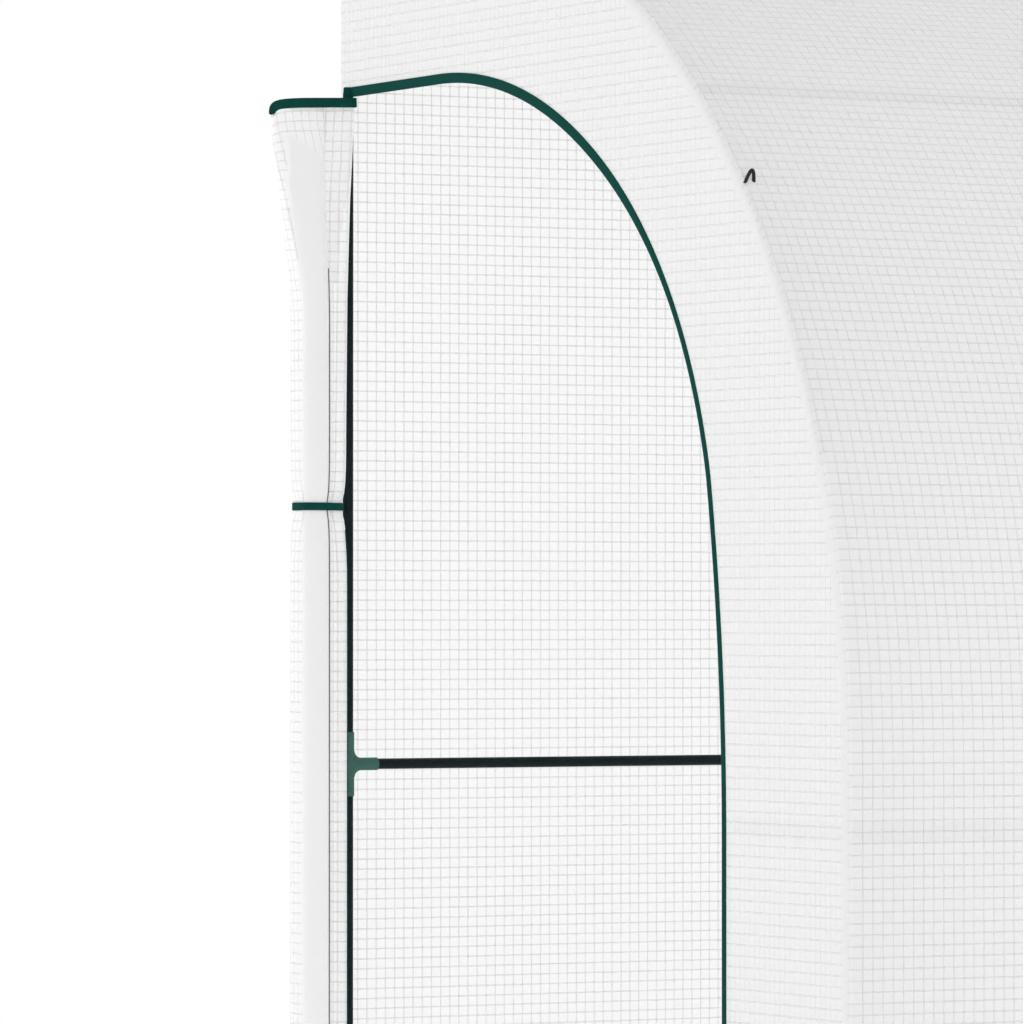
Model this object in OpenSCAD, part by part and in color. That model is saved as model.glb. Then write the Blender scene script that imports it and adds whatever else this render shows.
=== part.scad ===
// Walk-in lean-to greenhouse: a tube frame under a white mesh cover, flat at the back,
// bowed at the front, with a zipped door rolled aside and tied at each end.
// +X runs along the wall, +Y towards it and +Z up. The origin is on the ground, mid plan.

/* [Greenhouse] */
// Length along the wall, over the end covers
length = 3000; // [2400:50:5000]
// Depth from the wall side to the front, over the covers
depth = 1500; // [1450:10:1900]
// Height over the roof cover
height = 2130; // [2100:10:2400]
// Depth of the flat stretch of roof at the back, before the bow
flat_top = 224; // [170:2:300]
// Straight foot of a bow, from its bend to the socket that holds it
bow_leg = 30; // [0:2:60]
// Number of equal bays along the length
bays = 3; // [2:1:6]

/* [Frame] */
// Outer diameter of the frame tubes
tube_d = 16; // [12:1:19]
// Wall of the frame tubes
tube_wall = 1; // [0.6:0.1:2]
// Wall of the moulded sleeves round a tube
sleeve_wall = 1.5; // [1.2:0.1:3]
// Length of a connector's arm from its centre
arm = 48.5; // [36:0.5:60]
// Radius of the moulded web that rounds the corner between two arms
gusset = 10; // [4:0.5:16]
// Thickness of that web
gusset_t = 8; // [4:0.5:12]
// Height of the back rail's axis
back_rail_z = 839; // [500:1:1200]
// Angle of the purlin from the top of the bow
purlin_angle = 43; // [30:1:60]

/* [Cover] */
// Thickness of the cover
cover_t = 1.2; // [0.8:0.1:2]
// Gap between the ground and the cover's hem
hem_gap = 2; // [1:0.5:10]

/* [Door] */
// Height of the cover over the doorway
gable_h = 285; // [250:5:350]
// Width of the cover between the doorway and the front
side_panel_w = 341; // [320:1:380]
// Level stretch of the doorway's top, as a share of its width
door_level_share = 0.276; // [0.25:0.002:0.29]
// Radius of the first stretch of the doorway's curve, as a share of its width
door_crown_share = 0.749; // [0.73:0.002:0.76]
// Angle that the first stretch turns through
door_crown_angle = 36; // [28:1:40]
// Radius of the second stretch, as a share of the doorway's width
door_shoulder_share = 0.637; // [0.61:0.002:0.65]
// Angle from straight up where the second stretch ends
door_shoulder_angle = 77; // [72:1:82]
// Radius of the long stretch that ends upright, as a share of the doorway's width
door_side_share = 2.411; // [2.1:0.01:2.7]
// Width of the binding round the doorway
binding_w = 14; // [8:0.5:18]
// Thickness of the binding
binding_t = 4; // [2:0.2:6]

/* [Rolled door] */
// Radius of the rolled door
roll_r = 27; // [22:0.5:34]
// How far the roll's axis stands out from the end
roll_out = 66; // [62:1:90]
// Distance of the roll's axis from the back face
roll_back = 31; // [31:0.5:45]
// Height over which the roll spreads to its top edge
flare_h = 288; // [200:2:400]
// Reach of the spread top edge from the end
flare_out = 134; // [115:1:150]
// Drop of the spread top edge below the doorway's top
flare_drop = 12; // [6:0.5:24]
// Thickness of the spread top edge
flare_t = 14; // [8:0.5:20]
// Depth of the tie strap's middle below the roll's top
strap_drop = 606; // [480:2:800]
// Width of the tie strap
strap_w = 11; // [6:0.5:20]
// Thickness of the tie strap
strap_t = 1.5; // [1:0.1:3]
// How deep the strap pulls into the roll
strap_pinch = 4; // [1:0.5:8]
// Half height of the waist that the strap makes
waist_h = 70; // [40:1:120]

/* [Guy loops] */
// Angle of the loop from the top of the bow
loop_angle = 51.5; // [45:0.5:75]
// Diameter of the loop's cord
loop_cord_d = 5; // [2:0.5:6]
// Radius of the loop to the middle of its cord
loop_r = 9; // [6:0.5:14]

/* [Hidden] */

$fn = 64;
// Steps of each stretch of the doorway's curve and of the end cover's arch
arc_steps = 16;
// Clearance of a tube in its socket
socket_gap = 0.1;
// Clearance between the frame and the cover, and between the soft pieces
seat_gap = 0.3;

tube_r = tube_d / 2;
socket_r = tube_r + socket_gap;
sleeve_r = socket_r + sleeve_wall;
// Distance from a connector's centre to the end of a tube in it
stop = sleeve_r + 1;
// Distance from the cover's outer face to the axis of the tubes behind it
inset = cover_t + seat_gap + sleeve_r;

roof_r = depth - flat_top;
end_x = length / 2;
frame_x = end_x - inset;
bay = 2 * frame_x / bays;
frames = [for (i = [0 : bays]) -frame_x + i * bay];

back_y = depth / 2 - inset;
front_y = -depth / 2 + inset;
bow_y = depth / 2 - flat_top;
spring_z = height - roof_r;
bow_axis_r = roof_r - inset;
ridge_z = height - inset;
base_z = sleeve_r;
front_rail_z = spring_z - bow_leg - arm;
stop_angle = stop / bow_axis_r * 180 / PI;
// The crosses are straight, so they sit half the bow's rise over an arm inside its axis
bow_rise = arm * arm / (2 * bow_axis_r);
purlin_r = bow_axis_r - bow_rise / 2;
bow_socket_gap = bow_rise / 2 + socket_gap;
purlin_y = bow_y - purlin_r * sin(purlin_angle);
purlin_z = spring_z + purlin_r * cos(purlin_angle);

// The doorway's outline is drawn with u from the back face towards the front
door_left_u = inset;
door_side_u = depth - side_panel_w;
door_w = door_side_u - door_left_u;
door_h = height - gable_h;
door_level = door_level_share * door_w;
door_crown_r = door_crown_share * door_w;
door_shoulder_r = door_shoulder_share * door_w;
door_side_r = door_side_share * door_w;
crown_c = [door_left_u + door_level, door_h - door_crown_r];
crown_end_z = crown_c[1] + door_crown_r * cos(door_crown_angle);
shoulder_c = crown_c
    + (door_crown_r - door_shoulder_r) * [sin(door_crown_angle), cos(door_crown_angle)];
shoulder_end = shoulder_c
    + door_shoulder_r * [sin(door_shoulder_angle), cos(door_shoulder_angle)];
side_across = shoulder_end[0] - door_side_u + door_side_r;
side_c = [
    door_side_u - door_side_r,
    shoulder_end[1] - sqrt(door_side_r * door_side_r - side_across * side_across)
];
side_angle = atan2(shoulder_end[0] - side_c[0], shoulder_end[1] - side_c[1]);
door_cut_z = door_h + binding_w;
door_post_y = depth / 2 - (door_side_u + binding_w + sleeve_r + seat_gap);

roll_y = depth / 2 - roll_back;
roll_top_z = door_h - flare_drop;
flare_z = roll_top_z - flare_h;
strap_z = roll_top_z - strap_drop;
roll_binding_h = binding_w - 2;
waist_r = roll_r - strap_pinch;
// Thickness of the roll where it is sewn to the back corner
roll_tail_t = 2 * cover_t;

NEAR = -1;
FAR = 1;

// Points of an arc, its angles counted from straight up
function arc(c, r, from, to) = [
    for (i = [0 : arc_steps])
        let (a = from + (to - from) * i / arc_steps) c + r * [sin(a), cos(a)]
];

// The doorway's outline, moved out by grow
function door_outline(grow) = concat(
    [[door_left_u, 0], [door_left_u, door_h + grow]],
    arc(crown_c, door_crown_r + grow, 0, door_crown_angle),
    arc(shoulder_c, door_shoulder_r + grow, door_crown_angle, door_shoulder_angle),
    arc(side_c, door_side_r + grow, side_angle, 90),
    [[door_side_u + grow, 0]]
);

// The end cover's outline without its doorway
end_outline = concat(
    [[door_left_u, hem_gap], [door_left_u, height]],
    arc([flat_top, spring_z], roof_r, 0, 90),
    [[depth, hem_gap]]
);

// Turns a drawing in (y, z) to stand across the length
module across(x) {
    translate([x, 0, 0]) rotate([90, 0, 90]) children();
}

// Draws a piece of the near end, or mirrors it to the far one
module at_end(side) {
    mirror([side == FAR ? 1 : 0, 0, 0]) children();
}

// A sheet of thickness t drawn in (u, z), its outer face x from mid length
module end_sheet(side, x, t) {
    at_end(side) translate([-x, depth / 2, 0]) rotate([90, 0, 90])
        linear_extrude(t) mirror([1, 0]) children();
}

// Points the local Z axis along v
module aim(v) {
    rotate([0, acos(v[2] / norm(v)), atan2(v[1], v[0])]) children();
}

// A straight tube between two connector centres, stopping short inside each
module tube(from, to) {
    v = to - from;
    translate(from) aim(v) translate([0, 0, stop]) linear_extrude(norm(v) - 2 * stop)
        difference() {
            circle(r = tube_r);
            circle(r = tube_r - tube_wall);
        }
}

// Sweeps a section round the bow's centre, from an angle counted from straight up
module bow_sweep(x, from, turn) {
    translate([x, bow_y, spring_z]) rotate([90, 0, 90]) rotate([0, 0, 90 + from])
        rotate_extrude(angle = turn, $fn = 180) translate([bow_axis_r, 0]) children();
}

// A moulded connector with straight arms along the unit vectors given
module connector(arms, bore_r = socket_r) {
    difference() {
        union() {
            sphere(r = sleeve_r);
            for (v = arms) aim(v) cylinder(r = sleeve_r, h = arm);
            for (i = [0 : len(arms) - 1], j = [0 : len(arms) - 1])
                if (i < j && arms[i] * arms[j] == 0) web(arms[i], arms[j]);
            children();
        }
        for (v = arms) aim(v) translate([0, 0, stop]) cylinder(r = bore_r, h = arm);
    }
}

// The web that fills the corner between two arms
module web(a, b) {
    n = cross(a, b);
    leg = sleeve_r + gusset;
    multmatrix([[a[0], b[0], n[0], 0], [a[1], b[1], n[1], 0], [a[2], b[2], n[2], 0]])
        translate([0, 0, -gusset_t / 2]) linear_extrude(gusset_t) difference() {
            square(leg);
            translate([leg, leg]) circle(r = gusset);
        }
}

// The flat sole under a connector's level arms
module sole(arms) {
    for (v = arms)
        if (v[2] == 0)
            rotate([0, 0, atan2(v[1], v[0])]) translate([0, -sleeve_r, -sleeve_r])
                cube([arm, 2 * sleeve_r, sleeve_r]);
    translate([-sleeve_r, -sleeve_r, -sleeve_r]) cube([2 * sleeve_r, 2 * sleeve_r, sleeve_r]);
}

// The rails' directions at frame i: inward only at the two ends
function rail_arms(i) = concat(i > 0 ? [[-1, 0, 0]] : [], i < bays ? [[1, 0, 0]] : []);

function is_end(i) = i == 0 || i == bays;

module rails(y, z) {
    for (i = [0 : bays - 1]) tube([frames[i], y, z], [frames[i + 1], y, z]);
}

module paint_tube() { color([0.11, 0.15, 0.15]) children(); }
module paint_connector() { color([0.25, 0.41, 0.37]) children(); }
module paint_cover() { color([0.94, 0.94, 0.94]) children(); }
module paint_binding() { color([0.10, 0.28, 0.24]) children(); }
module paint_cord() { color([0.16, 0.16, 0.16]) children(); }

module back_posts_lower() {
    paint_tube() for (x = frames) tube([x, back_y, base_z], [x, back_y, back_rail_z]);
}

module back_posts_upper() {
    paint_tube() for (x = frames) tube([x, back_y, back_rail_z], [x, back_y, ridge_z]);
}

module front_posts() {
    paint_tube() for (x = frames) tube([x, front_y, base_z], [x, front_y, front_rail_z]);
}

// A rod of radius r along the straight foot and the lower bend of a bow
module bow_foot(x, r) {
    translate([x, front_y, front_rail_z + stop]) cylinder(r = r, h = bow_leg + arm - stop);
    bow_sweep(x, 90, purlin_angle + stop_angle - 90) circle(r = r);
}

// A rod of radius r along the upper bend and the level head of a bow
module bow_head(x, r) {
    translate([x, bow_y, ridge_z]) rotate([-90, 0, 0]) cylinder(r = r, h = back_y - bow_y - stop);
    bow_sweep(x, 0, purlin_angle - stop_angle) circle(r = r);
}

module bows_lower() {
    paint_tube() for (x = frames)
        difference() {
            bow_foot(x, tube_r);
            bow_foot(x, tube_r - tube_wall);
        }
}

module bows_upper() {
    paint_tube() for (x = frames)
        difference() {
            bow_head(x, tube_r);
            bow_head(x, tube_r - tube_wall);
        }
}

module ridge_rails() { paint_tube() rails(back_y, ridge_z); }

module back_mid_rails() { paint_tube() rails(back_y, back_rail_z); }

module back_base_rails() { paint_tube() rails(back_y, base_z); }

module purlins() { paint_tube() rails(purlin_y, purlin_z); }

module front_mid_rails() { paint_tube() rails(front_y, front_rail_z); }

module front_base_rails() { paint_tube() rails(front_y, base_z); }

module end_base_rails() {
    paint_tube() for (x = [-frame_x, frame_x]) {
        tube([x, back_y, base_z], [x, door_post_y, base_z]);
        tube([x, door_post_y, base_z], [x, front_y, base_z]);
    }
}

module end_mid_rails() {
    paint_tube() for (x = [-frame_x, frame_x])
        tube([x, door_post_y, front_rail_z], [x, front_y, front_rail_z]);
}

module door_posts() {
    paint_tube() for (x = [-frame_x, frame_x])
        tube([x, door_post_y, base_z], [x, door_post_y, front_rail_z]);
}

module ridge_corners() {
    paint_connector() for (i = [0 : bays])
        translate([frames[i], back_y, ridge_z])
            connector(concat([[0, 0, -1], [0, -1, 0]], rail_arms(i)));
}

module back_mid_tees() {
    paint_connector() for (i = [0 : bays])
        translate([frames[i], back_y, back_rail_z])
            connector(concat([[0, 0, 1], [0, 0, -1]], rail_arms(i)));
}

module base_feet(y, inward) {
    paint_connector() for (i = [0 : bays]) {
        arms = concat([[0, 0, 1]], rail_arms(i), is_end(i) ? [inward] : []);
        translate([frames[i], y, base_z]) connector(arms) sole(arms);
    }
}

module back_base_feet() { base_feet(back_y, [0, -1, 0]); }

module front_base_feet() { base_feet(front_y, [0, 1, 0]); }

module purlin_crosses() {
    paint_connector() for (i = [0 : bays])
        translate([frames[i], purlin_y, purlin_z]) rotate([purlin_angle, 0, 0])
            connector(concat([[0, 1, 0], [0, -1, 0]], rail_arms(i)), tube_r + bow_socket_gap);
}

module front_mid_tees() {
    paint_connector() for (i = [0 : bays])
        translate([frames[i], front_y, front_rail_z])
            connector(concat([[0, 0, 1], [0, 0, -1]], rail_arms(i), is_end(i) ? [[0, 1, 0]] : []));
}

module door_post_feet() {
    arms = [[0, 0, 1], [0, 1, 0], [0, -1, 0]];
    paint_connector() for (x = [-frame_x, frame_x])
        translate([x, door_post_y, base_z]) connector(arms) sole(arms);
}

module door_post_elbows() {
    paint_connector() for (x = [-frame_x, frame_x])
        translate([x, door_post_y, front_rail_z]) connector([[0, 0, -1], [0, -1, 0]]);
}

// The back sheet, turned round the two end posts to meet the ends
module back_cover() {
    paint_cover() translate([0, 0, hem_gap]) linear_extrude(height - cover_t - hem_gap) {
        translate([-frame_x, depth / 2 - cover_t]) square([2 * frame_x, cover_t]);
        for (side = [0, 1]) mirror([side, 0])
            translate([-frame_x, back_y]) intersection() {
                difference() {
                    circle(r = inset);
                    circle(r = inset - cover_t);
                }
                translate([-inset, 0]) square(inset);
            }
    }
}

// A sheet along the length, drawn in (y, z)
module long_sheet() {
    paint_cover() across(-end_x + cover_t) linear_extrude(length - 2 * cover_t) children();
}

// The cover's ring between two angles from the top of the bow
module bow_ring(from, to) {
    reach = 2 * roof_r;
    translate([bow_y, spring_z]) intersection() {
        difference() {
            circle(r = roof_r, $fn = 180);
            circle(r = roof_r - cover_t, $fn = 180);
        }
        polygon([[0, 0], reach * [-sin(from), cos(from)], reach * [-sin(to), cos(to)]]);
    }
}

module roof_cover() {
    long_sheet() {
        translate([bow_y, height - cover_t]) square([depth / 2 - bow_y, cover_t]);
        bow_ring(0, purlin_angle);
    }
}

module bowed_cover() {
    long_sheet() {
        bow_ring(purlin_angle, 90);
        translate([-depth / 2, front_rail_z]) square([cover_t, spring_z - front_rail_z]);
    }
}

module front_skirt() {
    long_sheet() translate([-depth / 2, hem_gap]) square([cover_t, front_rail_z - hem_gap]);
}

// The part of the end cover between two heights, with the doorway cut out
module end_cover(side, low, high) {
    paint_cover() end_sheet(side, end_x, cover_t) difference() {
        intersection() {
            polygon(end_outline);
            translate([0, low]) square([depth, high - low]);
        }
        polygon(door_outline(binding_w));
    }
}

module near_gable_cover() { end_cover(NEAR, door_cut_z, height); }

module near_shoulder_cover() { end_cover(NEAR, front_rail_z, door_cut_z); }

module near_skirt() { end_cover(NEAR, hem_gap, front_rail_z); }

module far_gable_cover() { end_cover(FAR, door_cut_z, height); }

module far_shoulder_cover() { end_cover(FAR, front_rail_z, door_cut_z); }

module far_skirt() { end_cover(FAR, hem_gap, front_rail_z); }

// The part of the doorway's binding between two heights
module door_binding(side, low, high) {
    paint_binding() end_sheet(side, end_x + (binding_t - cover_t) / 2, binding_t) difference() {
        intersection() {
            polygon(door_outline(binding_w));
            translate([0, low]) square([depth, high - low]);
        }
        polygon(door_outline(0));
    }
}

module near_top_binding() { door_binding(NEAR, crown_end_z, door_cut_z); }

module near_shoulder_binding() { door_binding(NEAR, shoulder_end[1], crown_end_z); }

module near_side_binding() { door_binding(NEAR, hem_gap, shoulder_end[1]); }

module far_top_binding() { door_binding(FAR, crown_end_z, door_cut_z); }

module far_shoulder_binding() { door_binding(FAR, shoulder_end[1], crown_end_z); }

module far_side_binding() { door_binding(FAR, hem_gap, shoulder_end[1]); }

// A section through the rolled door: round at its outer end and tapering to the sewn edge,
// where it can run past
function roll_section(out, r, tail_t, past = 0) =
    let (
        c = [-out, roll_y],
        sewn = [-seat_gap, back_y],
        lean = atan2(sewn[1] - c[1], sewn[0] - c[0]),
        tail = sewn + past * [cos(lean), sin(lean)],
        side = tail_t / 2 * [-sin(lean), cos(lean)]
    )
    concat(
        [for (i = [0 : arc_steps]) let (a = lean + 90 + 180 * i / arc_steps) c + r * [cos(a), sin(a)]],
        [tail - side, tail + side]
    );

// Height, reach and radius of the roll from its foot to its spread top edge
roll_levels = [
    [2 * hem_gap, roll_out, roll_r],
    [strap_z - waist_h, roll_out, roll_r],
    [strap_z - strap_w / 2, roll_out, waist_r],
    [strap_z + strap_w / 2, roll_out, waist_r],
    [strap_z + waist_h, roll_out, roll_r],
    [flare_z, roll_out, roll_r],
    [roll_top_z, flare_out - flare_t / 2, flare_t / 2]
];

// The door rolled up on its back edge, pulled in at the strap and spread at the top
module door_roll(side) {
    rings = [for (l = roll_levels) [for (p = roll_section(l[1], l[2], roll_tail_t)) [p[0], p[1], l[0]]]];
    n = len(rings[0]);
    last = len(rings) - 1;
    walls = [
        for (k = [0 : last - 1], i = [0 : n - 1])
            let (j = (i + 1) % n, low = k * n, high = low + n)
                each [[low + i, high + i, high + j], [low + i, high + j, low + j]]
    ];
    caps = [[for (i = [0 : n - 1]) i], [for (i = [n - 1 : -1 : 0]) last * n + i]];
    paint_cover() at_end(side) translate([-end_x, 0, 0])
        polyhedron([for (ring = rings) each ring], concat(walls, caps));
}

module near_door_roll() { door_roll(NEAR); }

module far_door_roll() { door_roll(FAR); }

// The binding along the spread top edge of the rolled door
module roll_binding(side) {
    end_r = roll_binding_h / 2;
    paint_binding() at_end(side)
        translate([-end_x, back_y - binding_t / 2, roll_top_z + seat_gap]) {
            translate([end_r - flare_out, 0, 0])
                cube([flare_out - end_r - seat_gap, binding_t, roll_binding_h]);
            translate([end_r - flare_out, 0, end_r]) rotate([-90, 0, 0]) cylinder(r = end_r, h = binding_t);
        }
}

module near_roll_binding() { roll_binding(NEAR); }

module far_roll_binding() { roll_binding(FAR); }

// The strap round the roll's waist, its two ends sewn to the back corner
module tie_strap(side) {
    inner_t = roll_tail_t + 2 * seat_gap;
    paint_binding() at_end(side) translate([-end_x, 0, strap_z - strap_w / 2])
        linear_extrude(strap_w) difference() {
            polygon(roll_section(roll_out, waist_r + seat_gap + strap_t, inner_t + 2 * strap_t));
            polygon(roll_section(roll_out, waist_r + seat_gap, inner_t, strap_t));
        }
}

module near_tie_strap() { tie_strap(NEAR); }

module far_tie_strap() { tie_strap(FAR); }

// A cord loop sewn to the seam of the end and the bowed front
module guy_loop(side) {
    out = roof_r + seat_gap + loop_cord_d / 2;
    x = -end_x + loop_r + loop_cord_d;
    paint_cord() at_end(side)
        translate([x, bow_y - out * sin(loop_angle), spring_z + out * cos(loop_angle)])
            rotate([loop_angle, 0, 0]) rotate_extrude() translate([loop_r, 0])
                circle(r = loop_cord_d / 2);
}

module near_guy_loop() { guy_loop(NEAR); }

module far_guy_loop() { guy_loop(FAR); }

back_posts_lower();
back_posts_upper();
front_posts();
bows_lower();
bows_upper();
ridge_rails();
back_mid_rails();
back_base_rails();
purlins();
front_mid_rails();
front_base_rails();
end_base_rails();
end_mid_rails();
door_posts();
ridge_corners();
back_mid_tees();
back_base_feet();
purlin_crosses();
front_mid_tees();
front_base_feet();
door_post_feet();
door_post_elbows();
back_cover();
roof_cover();
bowed_cover();
front_skirt();
near_gable_cover();
near_shoulder_cover();
near_skirt();
far_gable_cover();
far_shoulder_cover();
far_skirt();
near_top_binding();
near_shoulder_binding();
near_side_binding();
far_top_binding();
far_shoulder_binding();
far_side_binding();
near_door_roll();
far_door_roll();
near_roll_binding();
far_roll_binding();
near_tie_strap();
far_tie_strap();
near_guy_loop();
far_guy_loop();
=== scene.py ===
import math

import bpy
import numpy as np
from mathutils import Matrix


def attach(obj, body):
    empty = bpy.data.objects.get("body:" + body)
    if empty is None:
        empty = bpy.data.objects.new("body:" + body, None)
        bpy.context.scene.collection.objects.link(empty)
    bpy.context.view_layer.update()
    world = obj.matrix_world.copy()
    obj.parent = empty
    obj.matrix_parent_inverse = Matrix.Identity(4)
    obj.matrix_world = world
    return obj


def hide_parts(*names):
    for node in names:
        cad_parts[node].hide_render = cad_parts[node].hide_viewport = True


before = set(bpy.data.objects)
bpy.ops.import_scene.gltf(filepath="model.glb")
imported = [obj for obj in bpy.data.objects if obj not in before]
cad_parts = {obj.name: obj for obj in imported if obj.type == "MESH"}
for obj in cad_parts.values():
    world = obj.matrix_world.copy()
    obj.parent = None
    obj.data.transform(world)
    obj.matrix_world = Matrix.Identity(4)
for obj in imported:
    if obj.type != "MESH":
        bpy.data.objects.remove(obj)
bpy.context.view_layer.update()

bl_info = {
    "name": "Lean-to greenhouse",
    "version": (1, 0, 0),
    "blender": (4, 5, 0),
    "location": "3D View > Sidebar > Greenhouse",
    "description": "Dresses the tube frame of a lean-to greenhouse with its mesh cover, doors and stage",
    "category": "Object",
}

TUBES = (
    "back_posts_lower", "back_posts_upper", "front_posts", "bows_lower", "bows_upper",
    "ridge_rails", "back_mid_rails", "back_base_rails", "purlins", "front_mid_rails",
    "front_base_rails", "end_base_rails", "end_mid_rails", "door_posts",
)
CONNECTORS = (
    "ridge_corners", "back_mid_tees", "back_base_feet", "purlin_crosses", "front_mid_tees",
    "front_base_feet", "door_post_feet", "door_post_elbows",
)
ENDS = {"near": -1.0, "far": 1.0}
UP = np.array([0.0, 0.0, 1.0])
WHITE = (1.0, 1.0, 1.0, 1.0)


def length(name, description, default):
    return bpy.props.FloatProperty(
        name=name, description=description, default=default, unit="LENGTH", precision=5
    )


def share(name, description, default):
    return bpy.props.FloatProperty(
        name=name, description=description, default=default, min=0.0, precision=4
    )


def optics(name, description, default):
    return bpy.props.FloatVectorProperty(
        name=name, description=description, default=default, size=2, min=0.0, max=1.0, precision=4
    )


def angle(name, description, degrees):
    return bpy.props.FloatProperty(
        name=name, description=description, default=math.radians(degrees), subtype="ANGLE"
    )


def colour(name, description, default):
    return bpy.props.FloatVectorProperty(
        name=name, description=description, default=default, subtype="COLOR", min=0.0, max=1.0
    )


class CoverSettings(bpy.types.PropertyGroup):
    """The mesh cover: its size, its reinforcing threads and its bands of doubled cloth"""

    length: length("Length", "Length over the end covers", 3.0)
    depth: length("Depth", "Depth over the back and front covers", 1.5)
    height: length("Height", "Height over the roof cover", 2.13)
    flat_top: length("Flat top", "Level stretch of roof at the back", 0.224)
    inset: length("Inset", "Depth of the tube axes behind the cover's outer face", 0.0111)
    film_in: length("Film depth", "Depth of the sheet behind the outer face", 0.0006)
    lip: length("Back lip", "Length of the roof sheet that hangs down behind the back edge", 0.02)
    corner_x: length("Corner length", "Length of front over which the cover turns round the end bows", 0.005)
    corner_d: length("Corner depth", "Stretch of the end over which it turns", 0.018)
    corner_tight: length("Tight corner", "The same stretch at the back of the roof", 0.006)
    corner_run: length("Corner run", "Length of roof over which the tight corner opens", 0.06)
    hem_z: length("Hem height", "Height of the lower edge over the ground", 0.003)
    sag: length("Sag", "How far the sheet sinks between two bows", 0.0012)
    frame_x: length("End frame", "Distance of the end frames from mid length", 1.4889)
    bays: bpy.props.IntProperty(name="Bays", description="Bays between the bows", default=3, min=1)
    thread_w: length("Thread width", "Width of a reinforcing thread", 0.0020)
    thread_h: length("Thread height", "Thickness of a reinforcing thread", 0.0008)
    end_thread_w: length("End thread width", "Width of an upright thread of the ends", 0.0012)
    thread_least: length("Shortest thread", "Shortest stretch of thread at the ends", 0.01)
    thread_over: length("Thread overrun", "How far round the corner an upright thread may lie", 0.0015)
    thread_turn: share("Thread turn", "Share of the corner that the level threads follow", 0.6)
    pitch: length("Level pitch", "Pitch of the level threads", 0.01507)
    long_pitch: length("Long pitch", "Pitch of the upright threads of the long sides", 0.0157)
    end_pitch: length("End pitch", "Pitch of the upright threads of the ends", 0.01335)
    long_x: length("First long thread", "Place of the first upright thread of the front", -1.479)
    back_x: length("First back thread", "Place of the first upright thread of the back", -1.4667)
    long_s: length("Front phase", "Place of a level front thread below the bow's foot", 0.0016)
    back_z: length("Back phase", "Height of a level thread of the back", 1.2371)
    end_z: length("End phase", "Height of a level thread of the ends", 1.0692)
    end_w: length("End upright phase", "Place of an upright end thread behind the front", 0.0896)
    band_w: length("Band width", "Width of the bands of doubled cloth over the rails", 0.028)
    band_in: length("Band depth", "Depth of the bands behind the sheet", 0.0007)
    hem_band: length("Hem band", "Width of the band along the lower edge", 0.04)
    ridge_band: length("Ridge band", "Distance of the ridge's band from the back of the roof", 0.006)
    hem_w: length("Hem width", "Width of the plain hem along the arch", 0.002)
    upper_bow: share("Upper bow", "Share of the bow that the inner shade layer covers, from its top", 0.8)
    rail_z: length("Rail height", "Height of the front rail", 0.7755)
    purlin: angle("Purlin angle", "Angle of the purlin from the top of the bow", 43.0)
    post_y: length("Door post", "Place of the door post behind the front", 0.317)
    film: optics("Film", "Shares of light that the sheet sends back and lets through", (0.56, 0.34))
    back_film: optics("Back film", "The same for the thinner back sheet", (0.46, 0.47))
    thread: optics("Thread", "The same for the skin of a thread", (0.41, 0.57))
    end_thread: optics("End thread", "The same for the finer threads of the ends", (0.425, 0.57))
    band: optics("Band", "The same for the bands of doubled cloth", (0.42, 0.55))
    # The layers over the end bows darken the sheet there: painted shade of the bows, which let all light pass
    bow_shade: optics("Bow shade", "The same for the layers that paint shade over the end bows", (0.39, 0.52))


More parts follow.
